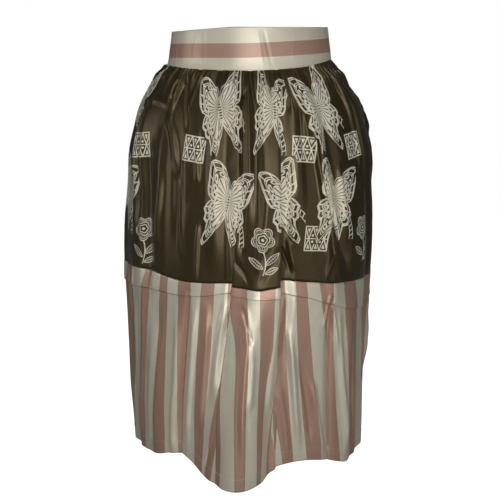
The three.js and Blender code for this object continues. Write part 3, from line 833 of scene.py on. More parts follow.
# %% Sew the band
def band_surface(angles, below):
    """The outer face of the band and its normals, from three rows a millimetre apart."""
    rows = below + np.array([-1, 0, 1])[:, None]
    lift = band_lift(angles) + band_ripple(angles, rows)
    middle = plain(angles[None, :], rows)
    normal = normals_of(middle)
    outer = middle + normal * ((lift + BAND_THICK / 2) * MM)[..., None]
    return outer[1], normal[1]


band_angles = np.linspace(-180 + LAP_ANGLE, 180 + LAP_ANGLE - 0.5, 3000)
band_line = band_surface(band_angles, all_round(BAND_EDGES, band_angles)[1] - 2.0)
band_stitches = sewn_line("band_stitches", *band_line, lift=-0.1, pitch=3.0, long=2.2, radius=0.18)

# %% [markdown]
# ## The two buttons
# A button is turned on a lathe: a profile of radius and height carried round an axis, with a rim that
# stands above a sunk middle. The holes could be modelled into the grid, but a boolean cuts all four
# cleanly, and it is applied, so the piece stays a plain mesh. The thread crosses from hole to hole, and the
# buttonhole under each button is edged with close bars of thread.

# %% Turn a profile, and put it in its place
# radius and height above the back, in millimetres, from the back's middle to the face's middle
BUTTON_PROFILE = np.array([
    (0.001, 0.25), (4, 0.1), (6.6, 0.1), (7.2, 0.4), (7.5, 1.1), (7.42, 1.8), (7.05, 2.4), (6.5, 2.6),
    (5.9, 2.42), (5.3, 1.95), (4.5, 1.72), (3, 1.65), (0.001, 1.65),
])
FACE = 1.65  # height of the sunk middle


def closed_lathe(profile, sides):
    """Points and faces of a profile carried round z: (r cos a, r sin a, z), with a face over each end."""
    turn = np.linspace(0, 2 * np.pi, sides, endpoint=False)
    radius, height = profile[:, :1], profile[:, 1:]
    tall = np.broadcast_to(height, (len(profile), sides))
    points = np.stack([radius * np.cos(turn), radius * np.sin(turn), tall], -1)
    index = np.arange(len(profile) * sides).reshape(len(profile), sides)
    low, high = index[:-1], index[1:]
    quads = np.stack([low, np.roll(low, -1, -1), np.roll(high, -1, -1), high], -1).reshape(-1, 4)
    return points.reshape(-1, 3), quads.tolist() + [index[0, ::-1].tolist(), index[-1].tolist()]


def axes_at(seat, normal):
    """A frame whose third axis is the normal and whose first runs along the band."""
    third = normal / np.linalg.norm(normal)
    second = np.array([0, 0, 1.0]) - third[2] * third
    second = second / np.linalg.norm(second)
    return np.stack([np.cross(second, third), second, third]), seat


def placed(points, frame_axes):
    """Local millimetres to metres: seat + x first + y second + z third."""
    rows, seat = frame_axes
    return seat + points @ rows * MM


print("a button is", 2 * BUTTON_PROFILE[:, 0].max(), "mm across")

# %% A button with four holes
HOLE_OUT, HOLE_RADIUS = 2.0, 0.9
HOLES_AT = np.radians([45, 135, 225, 315])
SHARP = np.radians(38)


def button(name, frame_axes):
    """The turned profile less four cylinders, with its edges kept sharp where they bend by SHARP."""
    points, faces = closed_lathe(BUTTON_PROFILE, 56)
    made = mesh_object(name, placed(points, frame_axes), faces, np.ones(len(faces), bool))
    drill_points, drill_faces = closed_lathe(np.array([(HOLE_RADIUS, -2.0), (HOLE_RADIUS, 5.0)]), 20)
    middles = HOLE_OUT * np.stack([np.cos(HOLES_AT), np.sin(HOLES_AT), 0 * HOLES_AT], -1)
    drills = placed((drill_points + middles[:, None]).reshape(-1, 3), frame_axes)
    drill_faces = [[i + k * len(drill_points) for i in face] for k in range(4) for face in drill_faces]
    drill = mesh_object(name + "_drill", drills, drill_faces, np.zeros(len(drill_faces), bool))
    cut = made.modifiers.new("holes", "BOOLEAN")
    cut.operation, cut.object, cut.solver = "DIFFERENCE", drill, "EXACT"
    seen = made.evaluated_get(bpy.context.evaluated_depsgraph_get())
    finished = bpy.data.meshes.new_from_object(seen)
    made.modifiers.clear()
    made.data = finished
    finished.name = name
    finished.set_sharp_from_angle(angle=SHARP)
    bpy.data.objects.remove(drill)
    print(name, len(finished.polygons), "faces")
    return made


print("holes", 2 * HOLE_RADIUS, "mm wide")

# %% Thread through the button, and a buttonhole under it
STRAND = 0.24  # a strand's radius in millimetres


def button_thread(name, frame_axes):
    """Two crossing bundles of three strands. Each strand rises from its hole, crosses and goes down."""
    s = np.linspace(-1, 1, 15)
    paths = []
    for turn in HOLES_AT[:2]:
        along = np.array([np.cos(turn), np.sin(turn), 0])
        aside = np.array([-np.sin(turn), np.cos(turn), 0])
        top = FACE + 0.75 * (1 - np.abs(s) ** 5) + (0.28 if turn > 1 else 0)
        for shift in (-0.42, 0, 0.42):
            out = 2.15 * np.clip(s * 1.12, -1, 1)
            sunk = 2.3 * ease(np.abs(s), 0.8, 1.0)
            paths.append(out[:, None] * along + shift * aside + (top - sunk)[:, None] * np.array([0, 0, 1]))
    return tubes(name, placed(np.array(paths), frame_axes), frame_axes[0][2], STRAND)


def buttonhole(name, frame_axes):
    """Bars across both edges of a 17 mm slit, and two longer bars over each of its ends."""
    height = (-0.25, 0.12, 0.12, -0.25)
    along = np.arange(-8.2, 8.3, 0.62)
    reach = np.array([0.35, 0.7, 1.5, 1.8])
    ends, span = np.array([-9.1, -8.7, 8.7, 9.1]), np.array([-1.9, -1.5, 1.5, 1.9])
    bars = [np.stack(np.broadcast_arrays(x[:, None], y, height), -1)
            for x, y in ((along, -reach), (along, reach), (ends, span))]
    return tubes(name, placed(np.concatenate(bars), frame_axes), frame_axes[0][2], STRAND, 5)


print("strands", 2 * STRAND, "mm thick")

# %% Make both buttons
button_pieces, thread_pieces = [], []
for node in ("button_top", "button_bottom"):
    low, high = (np.array(corner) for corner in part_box(node))
    below = TOP - (low[2] + high[2]) / 2 / MM
    surface, normal = band_surface(np.array([179.5, 180, 180.5]), np.full(3, below))
    frame_axes = axes_at(surface[1], normal[1])
    button_pieces.append((button(node.replace("button", "turned_button"), frame_axes), node))
    thread_pieces.append(button_thread(node + "_thread", frame_axes))
    thread_pieces.append(buttonhole(node + "_hole_stitches", frame_axes))
thread_pieces += [front_hem_stitches, back_hem_stitches, band_stitches]
print(len(button_pieces), "buttons and", len(thread_pieces), "pieces of thread")

# %% [markdown]
# ## Satin
# Satin is smooth on its right side because long threads float over the weave, so it shines along folds and
# shows fine streaks down the thread. Three materials need this, so one group gives the thread's colour
# change, roughness and height, and each material sets its own colour and strength. The wrong side is
# duller. Long sums of Math nodes are hard to read as links, so `Field` lets them be written as formulas.


# %% A group with named sockets
def group(name, inputs, outputs):
    """A node group with named sockets, its tree, and the nodes of its inputs and outputs."""
    tree = bpy.data.node_groups.new(name, "ShaderNodeTree")
    for label, kind, value in inputs:
        socket = tree.interface.new_socket(label, in_out="INPUT", socket_type="NodeSocket" + kind)
        if value is not None:
            socket.default_value = value
    for label, kind in outputs:
        tree.interface.new_socket(label, in_out="OUTPUT", socket_type="NodeSocket" + kind)
    return tree, tree.nodes.new("NodeGroupInput"), tree.nodes.new("NodeGroupOutput")


print("kinds of socket used: Vector, Color, Float")


# %% Formulas that become Math nodes
class Field:
    """A number that changes over the surface. Sums, products and the functions below add Math nodes."""

    def __init__(self, tree, socket):
        self.tree, self.socket = tree, socket

    def math(self, operation, *others):
        """One Math node that works on this number and others, each a Field or a fixed number."""
        node = self.tree.nodes.new("ShaderNodeMath")
        node.operation = operation
        for slot, value in zip(node.inputs, (self, *others)):
            if isinstance(value, Field):
                self.tree.links.new(value.socket, slot)
            else:
                slot.default_value = value
        return Field(self.tree, node.outputs[0])

    def __add__(self, other):
        return self.math("ADD", other)

    def __sub__(self, other):
        return self.math("SUBTRACT", other)

    def __mul__(self, other):
        return self.math("MULTIPLY", other)

    def __truediv__(self, other):
        return self.math("DIVIDE", other)

    def __neg__(self):
        return self * -1

    def __rsub__(self, other):
        return -self + other

    __radd__, __rmul__ = __add__, __mul__


def operation(kind):
    """A function that adds one Math node of this kind."""
    return lambda x, *others: x.math(kind, *others)


sin, absolute, whole, bearing = map(operation, ("SINE", "ABSOLUTE", "FLOOR", "ARCTAN2"))
highest, less, over = map(operation, ("MAXIMUM", "LESS_THAN", "GREATER_THAN"))


def part(x):
    """What is left of x above the whole number below it."""
    return x - whole(x)


def hypot(x, y):
    """The distance from 0, sqrt(x^2 + y^2)."""
    return (x * x + y * y).math("SQRT")


def any_of(first, *others):
    """The highest of some masks."""
    for other in others:
        first = highest(first, other)
    return first


def stroke(distance, half_width):
    """1 within half a line's width of where distance is 0."""
    return less(absolute(distance), half_width)


print("a mask is 1 or 0, so the highest of some masks is 1 where any of them is")


# %% Vectors, curves, noise and colours
def split(tree, socket):
    """The x and y of a vector socket."""
    node = tree.nodes.new("ShaderNodeSeparateXYZ")
    tree.links.new(socket, node.inputs[0])
    return Field(tree, node.outputs[0]), Field(tree, node.outputs[1])


def curve(x, points):
    """A line through points whose two numbers run from 0 to 1."""
    node = x.tree.nodes.new("ShaderNodeFloatCurve")
    line = node.mapping.curves[0]
    for spare in points[2:]:
        line.points.new(*spare)
    for point, place in zip(line.points, points):
        point.location, point.handle_type = place, "VECTOR"
    node.mapping.update()
    x.tree.links.new(x.socket, node.inputs["Value"])
    return Field(x.tree, node.outputs[0])


def join(tree, x, y):
    """A vector from two numbers."""
    node = tree.nodes.new("ShaderNodeCombineXYZ")
    for slot, value in zip(node.inputs, (x, y)):
        tree.links.new(value.socket, slot)
    return node.outputs[0]


def noise(tree, vector, scale, detail=2.0):
    """Soft noise from 0 to 1, with scale spots to a unit of the vector."""
    node = tree.nodes.new("ShaderNodeTexNoise")
    node.inputs["Scale"].default_value = scale
    node.inputs["Detail"].default_value = detail
    tree.links.new(vector, node.inputs["Vector"])
    return Field(tree, node.outputs["Fac"])


def blend_colour(tree, factor, first, second):
    """Mixes two colours, each a socket or a fixed colour."""
    node = tree.nodes.new("ShaderNodeMix")
    node.data_type = "RGBA"
    for slot, value in ((node.inputs[0], factor), (node.inputs[6], first), (node.inputs[7], second)):
        if isinstance(value, Field):
            value = value.socket
        if isinstance(value, bpy.types.NodeSocket):
            tree.links.new(value, slot)
        else:
            slot.default_value = value if isinstance(value, float) else (*value, 1)
    return node.outputs[2]


print("helpers ready for the node trees")

# %% The satin group
THREAD = 0.00042  # metres of cloth that one float of the weave takes
# how many to a metre across the cloth and along it, and the noise's detail: the warp's threads, the weft's
# slubs, and slow patches
STREAKS = ((900.0, 14.0, 2.0), (18.0, 700.0, 2.0), (9.0, 5.0, 3.0))


def satin_group():
    """Threads are noise drawn out along the warp and the weft. The weave is a sine that steps by 0.4 of a
    float from row to row, as satin's does."""
    tree, given, result = group(
        "satin_threads",
        [("Cloth", "Vector", None), ("Colour", "Color", (0.5, 0.5, 0.5, 1)), ("Wrong side", "Float", 0.0),
         ("Roughness", "Float", 0.4), ("Streaks", "Float", 0.1)],
        [("Colour", "Color"), ("Roughness", "Float"), ("Height", "Float")])
    u, v = split(tree, given.outputs["Cloth"])
    threads, slubs, patches = (noise(tree, join(tree, u * across, v * along), 1.0, detail) - 0.5
                               for across, along, detail in STREAKS)
    wrong = Field(tree, given.outputs["Wrong side"])
    streaks = Field(tree, given.outputs["Streaks"])
    light = 1.0 + (threads * 0.8 + slubs * 0.5) * streaks + patches * (streaks * 1.2)
    shade = tree.nodes.new("ShaderNodeVectorMath")
    shade.operation = "SCALE"
    tree.links.new(given.outputs["Colour"], shade.inputs[0])
    tree.links.new((light * (1.0 - wrong * 0.22)).socket, shade.inputs["Scale"])
    tree.links.new(shade.outputs[0], result.inputs["Colour"])
    rough = Field(tree, given.outputs["Roughness"]) + wrong * 0.22 + patches * 0.10 + slubs * 0.06
    tree.links.new(rough.socket, result.inputs["Roughness"])
    across, along = u / THREAD, v / THREAD
    float_over = sin((across + whole(along) * 0.4) * 6.2832) * 0.5 + sin(along * 6.2832) * 0.3
    tree.links.new((float_over * 0.5 + threads * 1.4 + slubs * 0.7).socket, result.inputs["Height"])
    return tree


SATIN = satin_group()
print("nodes in the satin group:", len(SATIN.nodes))

# %% [markdown]
# ## Materials for cloth
# A material reads the place on the flat cloth, takes its colour from stripes or print, passes it through
# the satin group, and feeds one Principled shader. An anisotropic shader also gives satin's long
# highlights, but the folds already stretch them, so the shader stays plain. Sheen, specular level and the
# like are set on it.


# %% Helpers for materials
def new_material(name, **settings):
    """A material, its tree and its shader. Sheen_Weight=0.1 sets the shader's own Sheen Weight."""
    material = bpy.data.materials.new(name)
    material.use_nodes = True
    shader = material.node_tree.nodes["Principled BSDF"]
    for label, value in settings.items():
        shader.inputs[label.replace("_", " ")].default_value = value
    return material, material.node_tree, shader


def relief(tree, shader, height, strength):
    """A tenth of a millimetre of bump from a height."""
    node = tree.nodes.new("ShaderNodeBump")
    node.inputs["Strength"].default_value = strength
    node.inputs["Distance"].default_value = 0.1 * MM
    tree.links.new(height, node.inputs["Height"])
    tree.links.new(node.outputs["Normal"], shader.inputs["Normal"])


def paint(made, material):
    """Gives a piece this one material."""
    made.data.materials.clear()
    made.data.materials.append(material)


print("helpers ready for the materials")


# %% A satin material
def cloth_material(name, rough, streaks, metallic, gloss, tint, colour_of):
    """A satin whose colour comes from colour_of(tree, cloth, wrong). Silk and acetate threads throw back
    light in their own colour along the fold, so part of the shader is metallic."""
    material, tree, shader = new_material(
        name, Metallic=metallic, Sheen_Weight=0.05, Sheen_Roughness=0.4, Specular_IOR_Level=gloss,
        Specular_Tint=(*tint, 1))
    flat = tree.nodes.new("ShaderNodeUVMap")
    flat.uv_map = "flat_cloth"
    side = tree.nodes.new("ShaderNodeAttribute")
    side.attribute_name = "wrong_side"
    satin = tree.nodes.new("ShaderNodeGroup")
    satin.node_tree = SATIN
    satin.inputs["Roughness"].default_value = rough
    satin.inputs["Streaks"].default_value = streaks
    tree.links.new(flat.outputs["UV"], satin.inputs["Cloth"])
    tree.links.new(side.outputs["Fac"], satin.inputs["Wrong side"])
    tree.links.new(colour_of(tree, flat.outputs["UV"], side.outputs["Fac"]), satin.inputs["Colour"])
    tree.links.new(satin.outputs["Colour"], shader.inputs["Base Color"])
    tree.links.new(satin.outputs["Roughness"], shader.inputs["Roughness"])
    relief(tree, shader, satin.outputs["Height"], 0.25)
    return material


WARM, PALE = (1.0, 0.79, 0.48), (1.0, 0.95, 0.88)  # tints of the gloss
print("tints of the gloss:", WARM, PALE)

# %% [markdown]
# ## Stripes
# Rose and cream stripes could be drawn with a wave texture, but they have sharp edges and one width, so the
# number of stripes passed, less its whole part, says it all. The band is cut along the cloth, so its
# stripes run round, and the fold at its top falls a little inside a rose one.

# %% The two striped satins
ROSE, CREAM = (0.48, 0.295, 0.218), (0.74, 0.695, 0.55)


def stripes_down(tree, cloth_place, _):
    """Rose and cream by turns across the cloth, 21 mm each."""
    u, _ = split(tree, cloth_place)
    return blend_colour(tree, less(part(u / (2 * STRIPE * MM)), 0.5), ROSE, CREAM)


BAND_STRIPES = (0.9, 23.0, 43.5)  # where the thin rose line ends, and where the wide one starts and ends


def stripes_round(tree, cloth_place, _):
    """A thin rose line at the top fold, then cream, rose and cream down the band."""
    _, v = split(tree, cloth_place)
    top, start, end = (edge * MM for edge in BAND_STRIPES)
    rose = highest(less(v, top), over(v, start) * less(v, end))
    return blend_colour(tree, rose, CREAM, ROSE)


striped_satin = cloth_material("striped_satin", rough=0.46, streaks=0.16, metallic=0.5, gloss=1.0, tint=PALE,
                               colour_of=stripes_down)
band_satin = cloth_material("band_satin", rough=0.42, streaks=0.08, metallic=0.25, gloss=0.9, tint=PALE,
                            colour_of=stripes_round)
for made in (front_flounce, back_flounce, front_tuck, back_tuck):
    paint(made, striped_satin)
paint(waistband, band_satin)
print("striped cloth painted")

# %% [markdown]
# ## The print
# The dark cloth is printed with butterflies, squares of triangles and flower sprigs, all in pale lines. A
# drawing could be loaded as a picture, but a formula stays sharp from close by and needs no file. Each
# motif is a mask worked out from x and y in millimetres from its middle, and a slanting lattice repeats it.

# %% A butterfly
# degrees from straight up, and millimetres from the body to the edge of the wings
WINGS = ((0, 14), (10, 16), (17, 30), (27, 50), (36, 65), (43, 72), (48, 72), (55, 63), (66, 54), (78, 49),
         (88, 43), (94, 34), (100, 40), (112, 50), (122, 48), (130, 53), (139, 50), (146, 57), (152, 75),
         (157, 78), (161, 62), (166, 44), (173, 33), (180, 22))
# shares of the way out: the end of the fan, the middle of the rings and the start of the net
FAN, RINGS, NET = 0.56, 0.66, 0.76


def spokes(angle, r, count):
    """The distance from the nearest of some spokes, count to a radian."""
    return (part(angle * count) - 0.5) * r * (1 / count)


def butterfly(x, y):
    """A line drawing and the area that it covers. The wings' edge is a table of the bearing, and q, the
    share of the way from the body to that edge, cuts a wing into a fan, a chain of rings and a net."""
    side = absolute(x) * (1.0 + less(x, 0.0) * 0.35)
    r = hypot(side, y)
    angle = bearing(side, y)
    edge = curve(angle / 3.14159, [(a / 180, long / 80) for a, long in WINGS]) * 80.0
    q = r / edge
    fan = less(q, FAN) * over(absolute(spokes(angle, r, 4.4)), 0.1 + r * 0.022) * over(r, 3.0)
    ring = hypot(spokes(angle, r, 3.9), (q - RINGS) * edge)
    rings = stroke(ring - 3.3, 1.3) * over(q, FAN + 0.01) * less(q, NET - 0.01)
    net = any_of(stroke(spokes(angle, r, 4.4), 0.95), stroke(spokes(q, edge, 8.0), 0.9))
    lines = any_of(stroke((q - 0.985) * edge, 1.3), stroke((q - NET) * edge, 1.0),
                   stroke((q - FAN) * edge, 0.9))
    wings = any_of(fan, rings, net * over(q, NET + 0.01) * less(q, 1.0), lines)
    body = hypot(side * 0.34, (y + 2.0) * 0.055)
    trunk = any_of(stroke(body - 1.0, 0.2), less(body, 1.0) * less(part(y * 0.25), 0.5))
    feeler = stroke(hypot(side - 16.0, y - 20.0) - 14.0, 0.7) * over(y, 20.0) * less(side, 16.0)
    tip = less(hypot(side - 16.5, y - 34.0), 2.2)
    lines = any_of(wings * over(body, 1.0), trunk, any_of(feeler, tip, ladder(x, y)) * over(q, 1.04))
    return lines, less(q, 1.08)


LADDER = 50.0  # radius of the ladder's ring


def ladder(x, y):
    """A curved strip with rungs, part of a ring that comes out from under the right wings."""
    px, py = x - 4.0, y + 58.0
    r = hypot(px, py)
    strip = less(absolute(r - LADDER), 4.2) * over(py, -12.0) * over(px, 0.0)
    rung = stroke(part(bearing(px, py) * 7.0 + (r - LADDER) * 0.06) - 0.5, 0.13)
    return strip * any_of(over(absolute(r - LADDER), 3.1), rung)


print("the wings' edge has", len(WINGS), "corners")


# %% A square of triangles
def tile(x, y):
    """A square with two rows of triangles, one row the mirror of the other."""
    inside = less(absolute(x), 19.0) * less(absolute(y), 18.5)
    frame_lines = any_of(stroke(absolute(x) - 18.1, 0.9), stroke(absolute(y) - 17.6, 0.9), stroke(y, 0.8))
    a = absolute(part((x + 19.0) / 12.7) - 0.5) * 2.0
    b = absolute(y) / 17.6
    zigzag = stroke((a - b) * 5.6, 0.85)
    filled = less(a, b - 0.42) * less(b, 0.84)
    dots = less(hypot((1.0 - a) * 6.35, (b - 0.26) * 17.6), 1.9)
    return inside * any_of(frame_lines, zigzag, filled, dots)


print("a square of 38 by 37 mm")


# %% A flower sprig
def leaf(x, y, cx, cy, turn_cos, turn_sin, long, broad):
    """A pointed leaf, |across| = broad (1 - s^2), with a vein along its middle."""
    px, py = x - cx, y - cy
    s = (px * turn_cos + py * turn_sin) / long
    across = py * turn_cos - px * turn_sin
    side = (1.0 - s * s) * broad
    within = less(absolute(s), 1.0)
    veins = stroke(part(s * 4.0 + absolute(across) * 0.12) - 0.5, 0.09) * less(absolute(across), side)
    outline, middle = stroke(absolute(across) - side, 0.55), stroke(across, 0.45) * less(absolute(s), 0.85)
    return within * any_of(outline, middle, veins)


# each leaf's middle, the cosine and sine of its turn, half its length and half its breadth
LEAVES = ((12.0, -14.0, 0.77, 0.64, 14.0, 4.6), (-13.0, -20.0, -0.82, 0.57, 14.0, 4.6),
          (11.0, -31.0, 0.91, 0.42, 11.0, 3.8))


def sprig(x, y):
    """A round bloom of five-lobed rings over a stem with three leaves."""
    px, py = x + 3.0, y - 15.0
    r = hypot(px, py)
    angle = bearing(px, py)
    lobes = 0.78 + absolute(sin(angle * 2.5)) * 0.28
    q = r / (lobes * 17.0)
    turned = 0.80 + absolute(sin(angle * 2.5 + 0.9)) * 0.24
    inner = r / (turned * 10.0)
    bloom = any_of(stroke(q - 1.0, 0.045), stroke(q - 0.84, 0.03) * over(inner, 1.0),
                   stroke(inner - 1.0, 0.07), stroke(inner - 0.62, 0.08), less(r, 2.0),
                   stroke(sin(angle * 15.0), 0.30) * over(inner, 1.1) * less(q, 0.84))
    stem = stroke(x - 2.0 + (y + 20.0) * (y + 20.0) * 0.012, 0.9) * less(y, -3.0) * over(y, -38.0)
    leaves = any_of(*(leaf(x, y, *place) for place in LEAVES))
    return any_of(bloom, (stem * over(q, 1.02)), leaves * over(q, 1.05))


print("a sprig with", len(LEAVES), "leaves")

# %% The lattice that repeats the motifs
PITCH, ROW, ROW_SHIFT = 116.0, 130.0, 18.0  # mm between motifs along a row, between rows, and a row's shift


def cell(u, v, first_u, first_v):
    """The place in a cell of the lattice, from the cell's middle with y up, and the cell's numbers."""
    row = whole((v - first_v) / ROW)
    along = u - row * ROW_SHIFT - first_u
    column = whole(along / PITCH)
    return along - column * PITCH - PITCH / 2, -(v - first_v - row * ROW - ROW / 2), column, row


def turned(x, y, degrees, way):
    """A turn by some degrees one way or the other: (x c + y s w, y c - x s w)."""
    c, s = float(np.cos(np.radians(degrees))), float(np.sin(np.radians(degrees)))
    return x * c + way * y * s, y * c - way * x * s


def one_in(number, count, which):
    """1 where a whole number leaves a remainder of which when it is divided by count."""
    return stroke(number - which - whole((number - which) / count + 0.001) * count, 0.4)


print("a motif every", PITCH, "mm along a row, and a row every", ROW, "mm")


# %% Three groups, one for each motif
def print_group(name, draw_cell):
    """A group that turns a place on the flat cloth into the mask of one motif's lines and, for a
    butterfly, the mask of what it covers."""
    tree, given, result = group(name, [("Cloth", "Vector", None)], [("Lines", "Float"), ("Covered", "Float")])
    u, v = split(tree, given.outputs["Cloth"])
    drawn = draw_cell(u * 1000.0, v * 1000.0)
    for mask, slot in zip(drawn if isinstance(drawn, tuple) else (drawn,), result.inputs):
        tree.links.new(mask.socket, slot)
    print(name, "has", len(tree.nodes), "nodes")
    return tree


def place_group(tree, made, vector):
    """A group node at a vector, as the numbers that it puts out."""
    node = tree.nodes.new("ShaderNodeGroup")
    node.node_tree = made
    tree.links.new(vector, node.inputs[0])
    return [Field(tree, socket) for socket in node.outputs]


def butterfly_cells(u, v):
    """A butterfly in most cells, turned 14 degrees by turns to the left and to the right."""
    x, y, column, row = cell(u, v, -128.0, 50.0)
    way = one_in(column + row, 2.0, 0.0) * 2.0 - 1.0
    x, y = turned(x, y, 14, way)
    shown = (1.0 - one_in(column, 4.0, 3.0)) * (1.0 - one_in(row, 3.0, 2.0))
    lines, covered = butterfly(x, y)
    return lines * shown, covered * shown


def tile_cells(u, v):
    """A square of triangles in most of the cells between the butterflies."""
    x, y, column, row = cell(u, v, -70.0, -23.0)
    sprigs_here = one_in(row, 3.0, 2.0) * one_in(column, 2.0, 0.0)
    x, y = turned(x, y, 6, one_in(column, 2.0, 0.0) * 2.0 - 1.0)
    return tile(x, y) * (1.0 - one_in(column + row, 4.0, 1.0)) * (1.0 - sprigs_here) * over(row, 0.5)


def sprig_cells(u, v):
    """A sprig in some of the same cells, where there is no square."""
    x, y, column, row = cell(u, v, -70.0, -23.0)
    return sprig(x, y + 10.0) * one_in(row, 3.0, 2.0) * one_in(column, 2.0, 0.0)


BUTTERFLIES = print_group("print_butterflies", butterfly_cells)
TILES = print_group("print_tiles", tile_cells)
SPRIGS = print_group("print_sprigs", sprig_cells)

# %% The printed satin
DARK, PRINT = (0.027, 0.0205, 0.0085), (0.73, 0.69, 0.56)


def dark_print(tree, cloth_place, wrong):
    """Pale lines on the dark right side, and next to nothing of them on the wrong side."""
    wings, covered = place_group(tree, BUTTERFLIES, cloth_place)
    others = [place_group(tree, made, cloth_place)[0] for made in (TILES, SPRIGS)]
    lines = any_of(wings, any_of(*others) * (1.0 - covered)) * (1.0 - Field(tree, wrong) * 0.93)
    return blend_colour(tree, lines, DARK, PRINT)


dark_satin = cloth_material("dark_printed_satin", rough=0.38, streaks=0.16, metallic=0.0, gloss=0.72,
                            tint=WARM, colour_of=dark_print)
for made in (front_yoke, back_yoke_right, back_yoke_left):
    paint(made, dark_satin)
print("dark cloth painted")

# %% [markdown]
# ## Button and thread
# The buttons are shell: pale, polished and faintly clouded, with bands of colour that wander through them.
# A still texture would do for one button, and noise in the object's own place makes each different. The
# thread is twisted cotton, so it has a slanting ribbing and no gloss.


# %% Shell
def shell_material():
    """Bands are a sine of cloudy noise, so they follow the clouds' edges."""
    material, tree, shader = new_material("button_shell")
    here = tree.nodes.new("ShaderNodeTexCoord").outputs["Object"]
    clouds, fine = noise(tree, here, 260.0, 3.0), noise(tree, here, 2200.0, 2.0)
    bands = sin(clouds * 22.0) * 0.5 + 0.5
    colour = blend_colour(tree, bands * 0.55 + clouds * 0.4, (0.60, 0.52, 0.40), (0.78, 0.73, 0.63))
    tree.links.new(blend_colour(tree, fine * 0.3, colour, (0.50, 0.42, 0.31)), shader.inputs["Base Color"])
    tree.links.new((clouds * 0.14 + fine * 0.05 + 0.16).socket, shader.inputs["Roughness"])
    relief(tree, shader, (clouds * 0.8 + fine * 0.2).socket, 0.2)
    return material


button_shell = shell_material()
for made, _ in button_pieces:
    paint(made, button_shell)
print("buttons painted")


# %% Thread
def thread_material():
    """The ribbing is a sine of x + y, about 0.7 mm from rib to rib, with fuzz over it. The same sine is the
    bump and also sets the colour: paler on the ribs and darker in the grooves, as painted shade.
    """
    material, tree, shader = new_material("sewing_thread", Sheen_Weight=0.3)
    here = tree.nodes.new("ShaderNodeTexCoord").outputs["Object"]
    u, v = split(tree, here)
    twist, fuzz = sin((u + v) * 9000.0) * 0.5 + 0.5, noise(tree, here, 3000.0, 2.0)
    # painted shade: the ribs are paler and the grooves between them darker, with the fuzz's own tone over it
    colour = blend_colour(tree, twist * 0.4 + fuzz * 0.4, (0.42, 0.38, 0.30), (0.66, 0.61, 0.50))
    tree.links.new(colour, shader.inputs["Base Color"])
    tree.links.new((fuzz * 0.2 + 0.6).socket, shader.inputs["Roughness"])
    relief(tree, shader, twist.socket, 0.4)
    return material


sewing_thread = thread_material()
for made in thread_pieces:
    paint(made, sewing_thread)
print("thread painted")

# %% [markdown]
# ## Which solid each piece stands for
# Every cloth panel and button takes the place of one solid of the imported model, and thread is added to it.
# All of it rides on the one body, because nothing here turns or slides.

# %% Tie the pieces to the model
STANDS_FOR = [
    (front_yoke, "upper_front", "printed_satin"), (back_yoke_right, "upper_back_right", "printed_satin"),
    (back_yoke_left, "upper_back_left", "printed_satin"), (front_flounce, "lower_front", "striped_satin"),
    (back_flounce, "lower_back", "striped_satin"), (front_tuck, "tuck_front", "striped_satin"),
    (back_tuck, "tuck_back", "striped_satin"), (waistband, "waistband", "striped_satin"),
]
for made, node, material_slot in STANDS_FOR + [(made, node, "button") for made, node in button_pieces]:
    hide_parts(node)
    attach(made, "root")
for made in thread_pieces:
    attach(made, "root")
print(len(STANDS_FOR) + len(button_pieces) + len(thread_pieces), "pieces ride on the body")

# %% [markdown]
# ## The sheets of cloth
# A sheet's cut is what shows of it, flat: its width all round its folds, and its mean length. Each sheet's
# place on the flat cloth was worked out where it was made.

print("sheets of cloth: three dark panels, two flounces, two tucks and the band")

# %% [markdown]
# ## Floor and light
# Satin shows the shape of its lamps, so tall narrow ones stand in front and to the sides, and each draws
# one long highlight down a fold. Round soft boxes would wash the folds out. The floor and the surround glow
# white for the camera alone, so the skirt stands on white and isn't lit by it.

# %% The floor
HEM_HEIGHT = 0.40  # metres between the floor and the hem


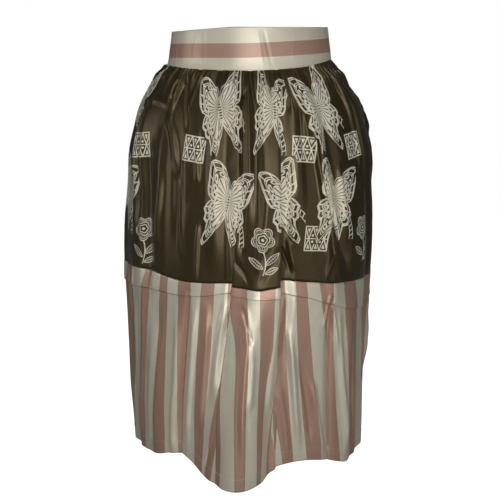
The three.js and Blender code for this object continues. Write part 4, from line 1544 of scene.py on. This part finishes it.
def stage_floor():
    """One wide face with a white glow that only the camera sees, so that it throws no light on the skirt."""
    points = np.array([(-6, -6, 0), (6, -6, 0), (6, 8, 0), (-6, 8, 0)], float)
    points[:, 2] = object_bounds()[0][2] - HEM_HEIGHT
    made = mesh_object("floor", points, [[0, 1, 2, 3]], [False])
    material, tree, shader = new_material(
        "pale_floor", Base_Color=(0.22, 0.22, 0.22, 1), Roughness=0.9, Emission_Color=(1, 1, 1, 1))
    seen = tree.nodes.new("ShaderNodeLightPath")
    tree.links.new(seen.outputs["Is Camera Ray"], shader.inputs["Emission Strength"])
    paint(made, material)


stage_floor()
print("floor", HEM_HEIGHT, "m below the hem")

# %% The lamps
# name, place, aim, width, height, watts, spread in degrees
LAMPS = (
    ("strip_centre", (0.14, -1.75, 0.05), (0, 0, 0.05), 0.34, 1.35, 15.6, 180),
    ("strip_left", (-1.8, -0.6, 0.0), (0, 0, -0.15), 0.6, 0.7, 1.25, 90),
    ("strip_right", (1.4, -1.2, -0.35), (0, 0, -0.35), 0.3, 1.2, 2.6, 180),
    ("high_strip", (0.1, -0.75, 1.2), (0, -0.13, -0.08), 0.9, 0.2, 0.4, 70),
    ("soft_fill", (-0.3, -2.6, 1.6), (0, 0, -0.3), 1.6, 1.0, 1.6, 180),
    ("behind", (0.4, 2.9, 1.5), (0, 0, -0.3), 1.8, 1.8, 75, 180),
)
for name, place, aim, wide, tall, power_watts, spread in LAMPS:
    data = bpy.data.lights.new(name, "AREA")
    data.shape, data.size, data.size_y, data.energy = "RECTANGLE", wide, tall, power_watts
    data.spread = np.radians(spread)
    made = bpy.data.objects.new(name, data)
    made.location = place
    x, y, z = np.array(aim, float) - np.array(place, float)
    made.rotation_euler = (np.pi / 2 + np.arctan2(z, np.hypot(x, y)), 0, np.arctan2(-x, y))
    bpy.context.scene.collection.objects.link(made)
print(len(LAMPS), "lamps")

# %% The surround
SURROUND_GLOW = 0.045  # what the cloth sees of it
world = bpy.data.worlds.new("white_surround")
bpy.context.scene.world = world
world.use_nodes = True
surround = world.node_tree.nodes["Background"]
surround.inputs["Color"].default_value = (1, 1, 1, 1)
seen_directly = world.node_tree.nodes.new("ShaderNodeLightPath")
level = world.node_tree.nodes.new("ShaderNodeMapRange")
level.inputs["To Min"].default_value = SURROUND_GLOW
world.node_tree.links.new(seen_directly.outputs["Is Camera Ray"], level.inputs["Value"])
world.node_tree.links.new(level.outputs["Result"], surround.inputs["Strength"])
bpy.context.scene.view_settings.view_transform = "Standard"
print("surround of", SURROUND_GLOW)
